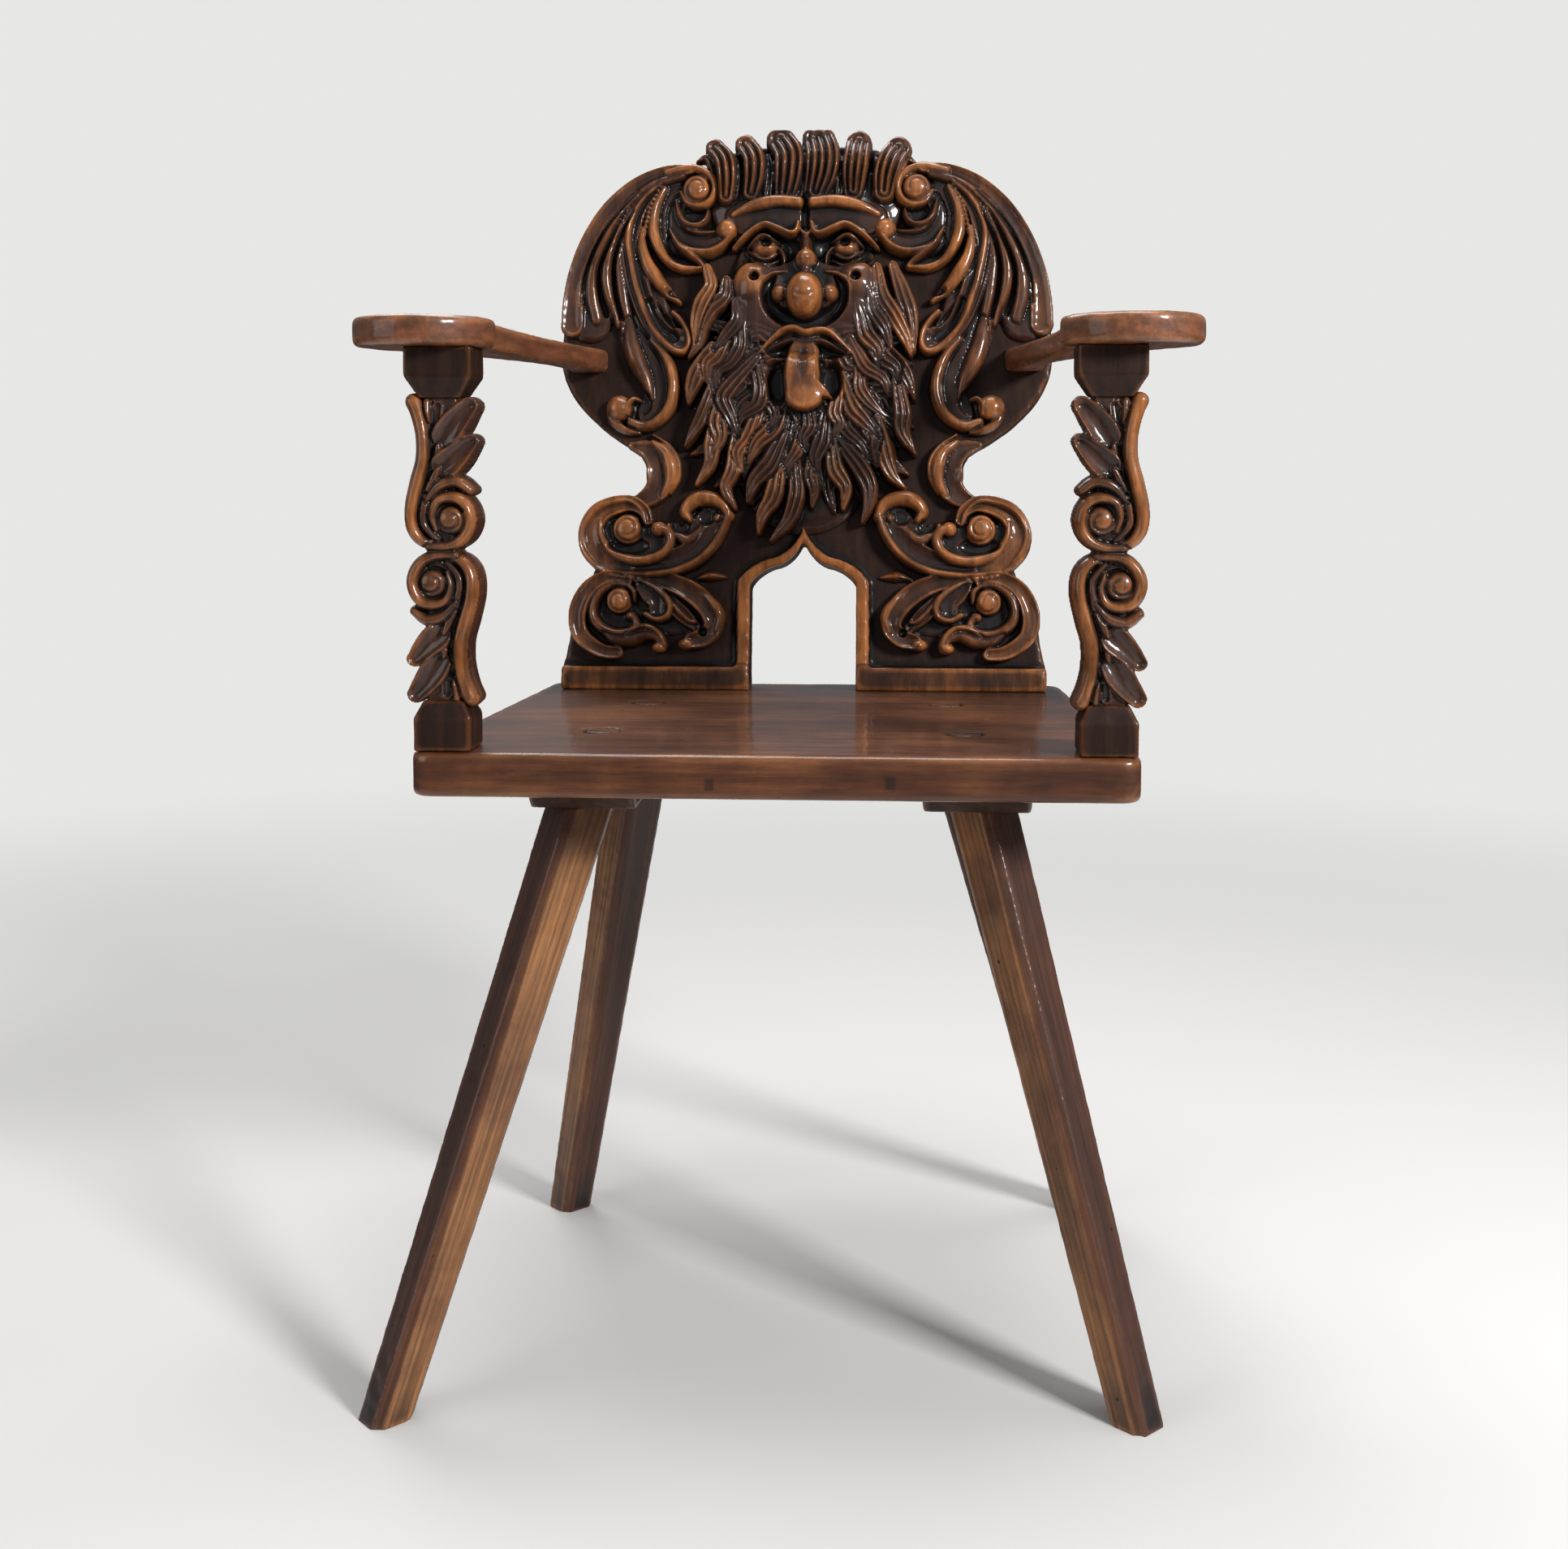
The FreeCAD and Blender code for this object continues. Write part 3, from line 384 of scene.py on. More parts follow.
    def _spread(self, dome: Dome) -> tuple[Cells, np.ndarray]:
        """Finds the cells inside a dome.

        Args:
            dome: the boss or pit.

        Returns:
            Rows and columns of the cells and the share of its height at each.
        """
        square = ((self.grid_u - dome.centre[0] - self.drift) / dome.radii[0]) ** 2
        square = square + ((self.grid_v - dome.centre[1]) / dome.radii[1]) ** 2
        spot = np.nonzero(square < 1.0)
        return spot, (1.0 - square[spot]) ** dome.fullness

    def swell_up(self, *domes: Dome) -> None:
        """Raises bosses, run into what is there where they ask for it.

        Args:
            domes: the bosses.
        """
        for dome in domes:
            spot, share = self._spread(dome)
            self._raise(spot, dome.foot + (dome.top - dome.foot) * share, dome.tone, dome.blend)

    def sink(self, *domes: Dome) -> None:
        """Hollows rounded pits.

        Args:
            domes: the pits, with their floor as the top.
        """
        for dome in domes:
            spot, share = self._spread(dome)
            was = self.height[spot]
            floor = was + (dome.top - was) * np.clip(share * PIT_STEEP, 0.0, 1.0)
            self.height[spot] = np.minimum(was, floor)

    def stain(self, *domes: Dome) -> None:
        """Changes the tone of what lies under each dome towards the dome's own.

        Args:
            domes: the stained places.
        """
        for dome in domes:
            spot, share = self._spread(dome)
            self.tone[spot] += (dome.tone - self.tone[spot]) * share

    def snail(self, centre: Point, radius: float, height: float, turns: float, tone: float) -> None:
        """Raises a volute's eye: a boss with a spiral groove that winds into it.

        Args:
            centre: the eye's centre.
            radius: its radius.
            height: its height.
            turns: turns of the groove, negative for the other hand.
            tone: its tone.
        """
        self.swell_up(Dome(centre, (radius, radius), height, height * EYE_FOOT, tone, EYE_FULLNESS))
        outer, inner = SPIRAL_REACH
        spiral = []
        for index in range(SPIRAL_POINTS + 1):
            share = index / SPIRAL_POINTS
            angle = 2.0 * math.pi * turns * share + SPIRAL_START
            reach = radius * (outer + (inner - outer) * share)
            spiral.append((centre[0] + reach * math.cos(angle), centre[1] + reach * math.sin(angle)))
        self.cut(Stroke(tuple(spiral), SPIRAL_WIDTH, SPIRAL_DEPTH))

    def finish(self, seed: int, depth: float) -> None:
        """Leaves the shallow uneven marks of hand tools and rounds every edge a little.

        Args:
            seed: start of the random draw.
            depth: greatest depth of a mark.
        """
        noise = np.random.default_rng(seed).random(self.height.shape)
        marks = np.zeros_like(noise)
        for reach, share in TOOL_MARKS:
            uneven = box_blur(noise, reach)
            marks += (uneven - uneven.mean()) / uneven.std() * share
        self.height += np.where(self.height > TOOL_LEVEL, 0.5 * depth * marks, 0.0)
        for axis in (0, 1):
            beside = np.roll(self.height, 1, axis) + np.roll(self.height, -1, axis)
            self.height = 0.5 * self.height + 0.25 * beside

    def exposure(self) -> np.ndarray:
        """Tells worn crests from hollows that hold dirt and painted shade.

        Returns:
            A share for each cell: 0 in a deep hollow, 1 on a proud crest.
        """
        total = np.zeros_like(self.height)
        for reach, depth, share in HOLLOWS:
            away = self.height - box_blur(self.height, max(1, int(round(reach / self.step))))
            total += share * np.clip(away / depth, -1.0, 1.0)
        return np.clip(0.5 + 0.5 * total, 0.0, 1.0)

    def covered(self, least: float) -> np.ndarray:
        """Marks the cells that the carving covers, with no holes left in it.

        Args:
            least: height from which a cell counts.

        Returns:
            A mask of cells.
        """
        outside = self.height <= least
        reached = np.zeros_like(outside)
        for table in (outside, reached):
            table[[0, -1], :] = True
            table[:, [0, -1]] = True
        # Free cells are reached from the border, by sweeps both ways along rows and columns
        sweeps = [(reached, outside), (reached[::-1], outside[::-1])]
        sweeps += [(reached.T, outside.T), (reached.T[::-1], outside.T[::-1])]
        count = 0
        while reached.sum() != count:
            count = reached.sum()
            for table, free in sweeps:
                for line in range(1, len(table)):
                    table[line] |= table[line - 1] & free[line]
        return ~reached


@dataclass(frozen=True)
class Panel:
    """Where a flat drawing stands: its origin and the directions of its three axes, in metres."""

    origin: Vector
    along: Vector
    up: Vector
    out: Vector

    def place(self, flat: np.ndarray) -> np.ndarray:
        """Turns drawing millimetres into places in metres.

        Args:
            flat: rows of across, up and out.

        Returns:
            Rows of X, Y and Z.
        """
        axes = np.array([self.along, self.up, self.out])
        return np.array(self.origin) + flat @ axes * MM


def add_mesh(name: str, shape: bmesh.types.BMesh) -> bpy.types.Object:
    """Turns a bmesh into a smooth-shaded object at the origin.

    Args:
        name: the piece's name.
        shape: its finished geometry, which is freed.

    Returns:
        The new object.
    """
    mesh = bpy.data.meshes.new(name)
    shape.to_mesh(mesh)
    shape.free()
    mesh.shade_smooth()
    piece = bpy.data.objects.new(name, mesh)
    bpy.context.scene.collection.objects.link(piece)
    return piece


def set_share(piece: bpy.types.Object, name: str, values: np.ndarray) -> None:
    """Stores one number per vertex for a material to read.

    Args:
        piece: the piece.
        name: the attribute's name.
        values: the numbers.
    """
    layers = piece.data.attributes
    layer = layers[name] if name in layers else layers.new(name, "FLOAT", "POINT")
    layer.data.foreach_set("value", values.astype(np.float32))


def get_share(piece: bpy.types.Object, name: str) -> np.ndarray:
    """Reads back the number that each vertex holds.

    Args:
        piece: the piece.
        name: the attribute's name.

    Returns:
        The numbers.
    """
    values = np.empty(len(piece.data.vertices), np.float32)
    piece.data.attributes[name].data.foreach_get("value", values)
    return values


def rows_of(piece: bpy.types.Object, what: str = "co") -> np.ndarray:
    """Reads the places of a piece's vertices.

    Args:
        piece: the piece.
        what: co for the places in metres, normal for the directions that they face.

    Returns:
        Rows of X, Y and Z.
    """
    flat = np.empty(len(piece.data.vertices) * 3)
    piece.data.vertices.foreach_get(what, flat)
    return flat.reshape(-1, 3)


def move_to(piece: bpy.types.Object, spots: np.ndarray) -> None:
    """Moves a piece's vertices to the given rows of places."""
    piece.data.vertices.foreach_set("co", spots.ravel())
    piece.data.update()


def only(kind: type, items: list) -> list:
    """Picks the vertices, edges or faces from what an operator hands back."""
    return [item for item in items if isinstance(item, kind)]


def cut_out(relief: Relief, least: float) -> bmesh.types.BMesh:
    """Raises a grid to a relief's heights and cuts away what the carving leaves free.

    Args:
        relief: the heights.
        least: height from which a cell belongs to the piece.

    Returns:
        An open shape with the layers wear and tone.
    """
    columns = len(relief.u)
    rows = len(relief.v)
    shape = bmesh.new()
    bmesh.ops.create_grid(shape, x_segments=columns - 1, y_segments=rows - 1, size=1.0)
    shape.verts.ensure_lookup_table()
    spots = np.array([vertex.co[:2] for vertex in shape.verts])
    # The operator's grid runs from -1 to 1 both ways
    column = np.rint((spots[:, 0] + 1.0) * 0.5 * (columns - 1)).astype(int)
    row = np.rint((spots[:, 1] + 1.0) * 0.5 * (rows - 1)).astype(int)
    inside = relief.covered(least)[row, column]
    height = np.maximum(relief.height[row, column], least)
    places = np.column_stack([relief.u[column], relief.v[row], height])
    # Low values in hollows stand for dirt there and for painted shade in the recesses
    exposed = relief.exposure()[row, column]
    rubbed = box_blur(relief.tone, 1)[row, column]
    # This layer holds real wear and dirt together with painted shade in hollows and on shaded parts
    wear_and_shade = shape.verts.layers.float.new("wear_and_shade")
    tone = shape.verts.layers.float.new("tone")
    for vertex, place, bare, amber in zip(shape.verts, places, exposed, rubbed):
        vertex.co = place
        vertex[wear_and_shade] = bare
        vertex[tone] = amber
    spare = [face for face in shape.faces if not all(inside[v.index] for v in face.verts)]
    bmesh.ops.delete(shape, geom=spare, context="FACES")
    return shape


def rim_smooth(shape: bmesh.types.BMesh) -> None:
    """Evens the stepped rim of a cut-out grid.

    Args:
        shape: the open shape.
    """
    rim = {vertex for vertex in shape.verts if vertex.is_boundary}
    for _ in range(RIM_PASSES):
        moved = {}
        for vertex in rim:
            beside = [edge.other_vert(vertex).co for edge in vertex.link_edges if edge.is_boundary]
            middle = sum(beside, Vector()) / len(beside)
            moved[vertex] = vertex.co.lerp(Vector((middle.x, middle.y, vertex.co.z)), 0.5)
        for vertex, spot in moved.items():
            vertex.co = spot


def close_flat(shape: bmesh.types.BMesh, sunk: float) -> None:
    """Drops a wall from the rim of a relief and closes it with a flat underside.

    Args:
        shape: the open shape.
        sunk: how far the underside lies below the drawing.
    """
    wear_and_shade = shape.verts.layers.float["wear_and_shade"]
    edges = [edge for edge in shape.edges if edge.is_boundary]
    grown = bmesh.ops.extrude_edge_only(shape, edges=edges)["geom"]
    for vertex in only(bmesh.types.BMVert, grown):
        vertex.co.z = -sunk
        vertex[wear_and_shade] = UNDERSIDE_WEAR
    rim = [edge for edge in only(bmesh.types.BMEdge, grown) if edge.is_boundary]
    bmesh.ops.holes_fill(shape, edges=rim, sides=0)


def close_double(shape: bmesh.types.BMesh) -> None:
    """Doubles a relief to the back, joins both at the rim and evens the wall between them.

    Args:
        shape: the open shape.
    """
    wear_and_shade = shape.verts.layers.float["wear_and_shade"]
    tone = shape.verts.layers.float["tone"]
    rim = [vertex for vertex in shape.verts if vertex.is_boundary]
    for vertex in {edge.other_vert(v) for v in rim for edge in v.link_edges}:
        vertex[wear_and_shade] = WALL_WEAR
        vertex[tone] = WALL_TONE
    for vertex in rim:
        vertex.co.z = 0.0
    copy = bmesh.ops.duplicate(shape, geom=shape.faces[:])
    for vertex in only(bmesh.types.BMVert, copy["geom"]):
        vertex.co.z = -vertex.co.z
    bmesh.ops.remove_doubles(shape, verts=shape.verts, dist=SEAM)
    shape.normal_update()
    walls = [vertex for vertex in shape.verts if abs(vertex.normal.z) < WALL_SLOPE]
    for _ in range(WALL_PASSES):
        bmesh.ops.smooth_vert(shape, verts=walls, factor=0.5, use_axis_x=True, use_axis_y=True)


def carve(name: str, relief: Relief, panel: Panel, least: float = 0.7, sunk: float = 2.0,
          two_sided: bool = False) -> bpy.types.Object:
    """Makes a closed mesh of a relief.

    Args:
        name: the piece's name.
        relief: its heights.
        panel: where its drawing stands.
        least: height from which a cell belongs to the piece.
        sunk: how far its flat underside lies below the drawing.
        two_sided: whether the back repeats the front's heights instead of a flat underside.

    Returns:
        The new object, with the attributes wear and tone.
    """
    shape = cut_out(relief, least)
    rim_smooth(shape)
    if two_sided:
        close_double(shape)
    else:
        close_flat(shape, sunk)
    bmesh.ops.recalc_face_normals(shape, faces=shape.faces)
    piece = add_mesh(name, shape)
    move_to(piece, panel.place(rows_of(piece)))
    if panel.along.cross(panel.up).dot(panel.out) < 0.0:
        piece.data.flip_normals()
    return piece


# Finishes

HOLE_DARK = (0.006, 0.004, 0.003, 1.0)
HOLE_DEPTH = 3.0
STREAK_RISE = 0.5
PORE_SINK = -0.6
BUMP_HEIGHT = 0.0008


def tree_group(name: str, inputs: dict[str, str], outputs: dict[str, str]) -> bpy.types.NodeTree:
    """Starts a shader node group with named sockets.

    Args:
        name: the group's name.
        inputs: socket kinds by input name.
        outputs: socket kinds by output name.

    Returns:
        The new group.
    """
    group = bpy.data.node_groups.new(name, "ShaderNodeTree")
    for way, sockets in (("INPUT", inputs), ("OUTPUT", outputs)):
        for label, kind in sockets.items():
            group.interface.new_socket(label, in_out=way, socket_type=f"NodeSocket{kind}")
    return group


class Wiring:
    """Short words for placing and joining shader nodes in one tree."""

    def __init__(self, tree: bpy.types.NodeTree) -> None:
        """Keeps the tree that is wired."""
        self.tree = tree

    def put(self, kind: str, **values: object) -> bpy.types.Node:
        """Adds a node.

        Args:
            kind: the node's kind, without the words that all shader nodes share.
            values: its plain properties.

        Returns:
            The new node.
        """
        node = self.tree.nodes.new(f"ShaderNode{kind}")
        for key, value in values.items():
            setattr(node, key, value)
        return node

    def feed(self, target: bpy.types.NodeSocket, value: object) -> None:
        """Links a socket or sets a plain value.

        Args:
            target: the socket that is fed.
            value: another socket or a plain value.
        """
        if isinstance(value, bpy.types.NodeSocket):
            self.tree.links.new(value, target)
        else:
            target.default_value = value

    def fill(self, node: bpy.types.Node, inputs: dict[str, object]) -> bpy.types.NodeOutputs:
        """Feeds several inputs of a node.

        Args:
            node: the node.
            inputs: sockets or plain values by input name.

        Returns:
            The node's outputs.
        """
        for label, value in inputs.items():
            self.feed(node.inputs[label], value)
        return node.outputs

    def math(self, operation: str, *values: object) -> bpy.types.NodeSocket:
        """Adds a Math node.

        Args:
            operation: its operation.
            values: sockets or numbers for its inputs.

        Returns:
            Its result.
        """
        node = self.put("Math", operation=operation)
        for target, value in zip(node.inputs, values):
            self.feed(target, value)
        return node.outputs[0]

    def spread(self, value: object, low: float, high: float, start: object = 0.0,
               end: object = 1.0) -> bpy.types.NodeSocket:
        """Adds a smooth step.

        Args:
            value: the value that is stepped.
            low: where the step begins.
            high: where it ends.
            start: result below it.
            end: result above it.

        Returns:
            The result.
        """
        node = self.put("MapRange", interpolation_type="SMOOTHSTEP")
        inputs = {"Value": value, "From Min": low, "From Max": high, "To Min": start, "To Max": end}
        return self.fill(node, inputs)["Result"]

    def mix(self, share: object, a: object, b: object, blend: str = "MIX") -> bpy.types.NodeSocket:
        """Mixes two colours.

        Args:
            share: share of the second colour.
            a: the first colour.
            b: the second colour.
            blend: how they are mixed.

        Returns:
            The mixed colour.
        """
        node = self.put("Mix", data_type="RGBA", blend_type=blend)
        colours = [socket for socket in node.inputs if socket.type == "RGBA"]
        self.feed(node.inputs["Factor"], share)
        self.feed(colours[0], a)
        self.feed(colours[1], b)
        return next(socket for socket in node.outputs if socket.type == "RGBA")

    def noise(self, vector: object, scale: float, detail: float,
              rough: float = 0.55) -> bpy.types.NodeSocket:
        """Adds a cloudy pattern.

        Args:
            vector: where it is read.
            scale: its scale.
            detail: its octaves.
            rough: strength of the finer octaves.

        Returns:
            Its value.
        """
        inputs = {"Vector": vector, "Scale": scale, "Detail": detail, "Roughness": rough}
        return self.fill(self.put("TexNoise"), inputs)["Fac"]


def build_fibre() -> bpy.types.NodeTree:
    """Grain of an old board: broad figure, fine streaks and open pores.

    Returns:
        A group from a stretched Vector to Figure, Streak and Pores.
    """
    group = tree_group("old_board_fibre", {"Vector": "Vector"},
                       {"Figure": "Float", "Streak": "Float", "Pores": "Float"})
    w = Wiring(group)
    vector = group.nodes.new("NodeGroupInput").outputs["Vector"]
    wave = w.put("TexWave", wave_type="RINGS", rings_direction="SPHERICAL")
    rings = {"Vector": vector, "Scale": 0.9, "Distortion": 5.0, "Detail": 3.0, "Detail Scale": 1.2}
    figure = w.fill(wave, rings)["Fac"]
    streak = w.noise(vector, 7.0, 6.0, 0.6)
    pores = w.spread(w.noise(vector, 30.0, 3.0, 0.6), 0.56, 0.70)
    w.fill(group.nodes.new("NodeGroupOutput"), {"Figure": figure, "Streak": streak, "Pores": pores})
    return group


def build_worm() -> bpy.types.NodeTree:
    """Scattered flight holes of wood worm.

    Returns:
        A group from Vector and Density to Hole.
    """
    group = tree_group("worm_holes", {"Vector": "Vector", "Density": "Float"}, {"Hole": "Float"})
    w = Wiring(group)
    given = group.nodes.new("NodeGroupInput").outputs
    voronoi = w.put("TexVoronoi", feature="F1", distance="EUCLIDEAN")
    cell = w.fill(voronoi, {"Vector": given["Vector"], "Scale": 75.0})
    near = w.spread(cell["Distance"], 0.075, 0.13, 1.0, 0.0)
    draw = w.fill(w.put("SeparateColor"), {"Color": cell["Color"]})["Red"]
    patch = w.spread(w.noise(given["Vector"], 14.0, 2.0), 0.52, 0.66)
    chosen = w.math("LESS_THAN", draw, w.math("MULTIPLY", patch, given["Density"]))
    w.fill(group.nodes.new("NodeGroupOutput"), {"Hole": w.math("MULTIPLY", near, chosen)})
    return group


def build_patina() -> bpy.types.NodeTree:
    """Colour of waxed wood between hollows, dark with dirt and with painted shade, and worn crests.

    Returns:
        A group from Wear, Streak, Figure, Blotch, Tone and three colours to Color and Worn.
    """
    values = dict.fromkeys(("WearAndShade", "Streak", "Figure", "Blotch", "Tone"), "Float")
    colours = dict.fromkeys(("Hollow", "Body", "Crest"), "Color")
    group = tree_group("waxed_patina", values | colours, {"Color": "Color", "Worn": "Float"})
    w = Wiring(group)
    given = group.nodes.new("NodeGroupInput").outputs
    level = w.math("ADD", given["WearAndShade"], w.math("MULTIPLY_ADD", given["Blotch"], 0.22, -0.11))
    patchy = w.math("MULTIPLY", given["Tone"], w.spread(given["Blotch"], 0.3, 0.7, 0.55, 1.15))
    rubbed = w.mix(w.spread(patchy, 0.25, 1.15, 0.0, 0.72), given["Body"], given["Crest"])
    # Low levels take the near-black hollow colour: dirt, and painted shade in hollows and on shaded parts
    body = w.mix(w.spread(level, 0.20, 0.50), given["Hollow"], rubbed)
    worn = w.spread(level, 0.60, 0.95)
    share = w.math("MULTIPLY", worn, w.spread(patchy, 0.0, 1.0, 0.10, 0.95))
    waxed = w.mix(share, body, given["Crest"])
    streak = w.spread(given["Streak"], 0.3, 0.72, 0.62, 1.22)
    figure = w.spread(given["Figure"], 0.1, 0.9, 0.82, 1.1)
    shade = dict.fromkeys(("Red", "Green", "Blue"), w.math("MULTIPLY", streak, figure))
    colour = w.mix(1.0, waxed, w.fill(w.put("CombineColor"), shade)["Color"], "MULTIPLY")
    w.fill(group.nodes.new("NodeGroupOutput"), {"Color": colour, "Worn": worn})
    return group


class Groups:
    """The shader effects that several finishes share, and the materials made so far."""

    def __init__(self) -> None:
        """Builds each effect once."""
        self.fibre = build_fibre()
        self.worm = build_worm()
        self.patina = build_patina()
        self.made: dict[str, bpy.types.Material] = {}


@dataclass(frozen=True)
class WoodFinish:
    """One waxed wood: its three tones, gloss, grain and wear."""

    name: str
    hollow: Colour
    body: Colour
    crest: Colour
    grain: Grain = Grain.UPRIGHT
    rough_hollow: float = 0.62
    rough_crest: float = 0.32
    coat: float = 0.25
    coat_rough: float = 0.22
    sheen: float = 0.4
    pores: float = 0.35
    bump: float = 0.25
    worm: float = 0.0
    blotch_scale: float = 7.0
    turn: Triple = (0.0, 0.0, 0.0)

    def material(self, groups: Groups) -> bpy.types.Material:
        """Builds the finish as nodes.

        Args:
            groups: the shared effects.

        Returns:
            The new material.
        """
        material = bpy.data.materials.new(self.name)
        material.use_nodes = True
        w = Wiring(material.node_tree)
        place = w.put("TexCoord").outputs["Object"]
        scale = [1.0 / k for k in self.grain.value]
        mapping = w.put("Mapping", vector_type="TEXTURE")
        stretched = w.fill(mapping, {"Vector": place, "Rotation": self.turn, "Scale": scale})["Vector"]
        fibre = w.fill(w.put("Group", node_tree=groups.fibre), {"Vector": stretched})
        eaten = {"Vector": place, "Density": self.worm}
        hole = w.fill(w.put("Group", node_tree=groups.worm), eaten)["Hole"]
        blotch = w.noise(place, self.blotch_scale, 5.0, 0.6)
        patina = w.fill(w.put("Group", node_tree=groups.patina), {
            "WearAndShade": w.put("Attribute", attribute_name="wear_and_shade").outputs["Fac"],
            "Tone": w.put("Attribute", attribute_name="tone").outputs["Fac"],
            "Streak": fibre["Streak"],
            "Figure": fibre["Figure"],
            "Blotch": blotch,
            "Hollow": self.hollow,
            "Body": self.body,
            "Crest": self.crest,
        })
        pored = w.mix(w.math("MULTIPLY", fibre["Pores"], self.pores), patina["Color"], self.hollow)
        rough = w.spread(patina["Worn"], 0.0, 1.0, self.rough_hollow, self.rough_crest)
        smear = w.spread(blotch, 0.35, 0.7, -0.06, 0.08)
        grained = w.math("ADD", w.math("MULTIPLY", fibre["Streak"], STREAK_RISE),
                         w.math("MULTIPLY", fibre["Pores"], PORE_SINK))
        relief = w.math("SUBTRACT", grained, w.math("MULTIPLY", hole, HOLE_DEPTH))
        bump = {"Strength": self.bump, "Distance": BUMP_HEIGHT, "Height": relief}
        w.fill(material.node_tree.nodes["Principled BSDF"], {
            "Base Color": w.mix(hole, pored, HOLE_DARK),
            "Roughness": w.math("ADD", rough, smear),
            "Normal": w.fill(w.put("Bump"), bump)["Normal"],
            "Coat Weight": self.coat,
            "Coat Roughness": self.coat_rough,
            "Specular IOR Level": self.sheen,
        })
        return material


# The first colour of each finish is for hollows: dirt, and painted shade where the wear layer is low
CARVED = WoodFinish("waxed_carving", (0.0045, 0.0022, 0.0015, 1.0), (0.046, 0.0145, 0.0066, 1.0),
                    (0.37, 0.130, 0.036, 1.0), Grain.UPRIGHT, rough_crest=0.34, coat=0.6, coat_rough=0.10,
                    sheen=0.3, blotch_scale=22.0)
GROUND = WoodFinish("waxed_ground", (0.005, 0.0025, 0.0017, 1.0), (0.026, 0.0098, 0.0052, 1.0),
                    (0.36, 0.128, 0.038, 1.0), Grain.UPRIGHT, coat=0.15, coat_rough=0.15, sheen=0.2,
                    blotch_scale=12.0)
SEAT = WoodFinish("waxed_seat", (0.011, 0.0045, 0.0026, 1.0), (0.078, 0.0225, 0.0092, 1.0),
                  (0.34, 0.130, 0.042, 1.0), Grain.ACROSS, coat=0.55, coat_rough=0.12, sheen=0.3, worm=0.25,
                  blotch_scale=9.0)
ARM = WoodFinish("waxed_arm", (0.026, 0.0095, 0.0045, 1.0), (0.165, 0.050, 0.0185, 1.0),
                 (0.50, 0.215, 0.085, 1.0), Grain.DEEP, coat=0.45, coat_rough=0.13)
LEG = WoodFinish("waxed_leg", (0.012, 0.0058, 0.004, 1.0), (0.085, 0.030, 0.0155, 1.0),
                 (0.40, 0.175, 0.060, 1.0), Grain.STICK, coat=0.35, coat_rough=0.16, sheen=0.3, worm=0.5,
                 blotch_scale=11.0)
BATTEN = WoodFinish("waxed_batten", (0.008, 0.004, 0.0027, 1.0), (0.038, 0.0148, 0.008, 1.0),
                    (0.16, 0.070, 0.034, 1.0), Grain.DEEP, coat=0.1, sheen=0.25)
WEDGE = WoodFinish("waxed_wedge", (0.016, 0.007, 0.004, 1.0), (0.10, 0.038, 0.018, 1.0),
                   (0.26, 0.115, 0.050, 1.0), Grain.ACROSS, coat=0.2, sheen=0.3)


def dress(piece: bpy.types.Object, finish: WoodFinish, groups: Groups) -> None:
    """Gives a piece its finish.

    Args:
        piece: the piece.
        finish: its wood finish.
        groups: the shared effects.
    """
    material = groups.made.get(finish.name) or finish.material(groups)
    groups.made[finish.name] = material
    piece.data.materials.clear()
    piece.data.materials.append(material)


def settle(piece: bpy.types.Object, node: str, finish: WoodFinish, groups: Groups) -> None:
    """Puts a piece in the place of a solid and dresses it.

    Args:
        piece: the piece.
        node: the solid's name.
        finish: its wood finish.
        groups: the shared effects.
    """
    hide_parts(node)
    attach(piece, BODY)
    dress(piece, finish, groups)


# Worn timber


def solid_copy(node: str) -> bmesh.types.BMesh:
    """Copies a solid's mesh with its loose triangles joined.

    Args:
        node: the solid's name.

    Returns:
        The joined geometry.
    """
    shape = bmesh.new()
    shape.from_mesh(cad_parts[node].data)
    bmesh.ops.remove_doubles(shape, verts=shape.verts, dist=WELD)
    return shape


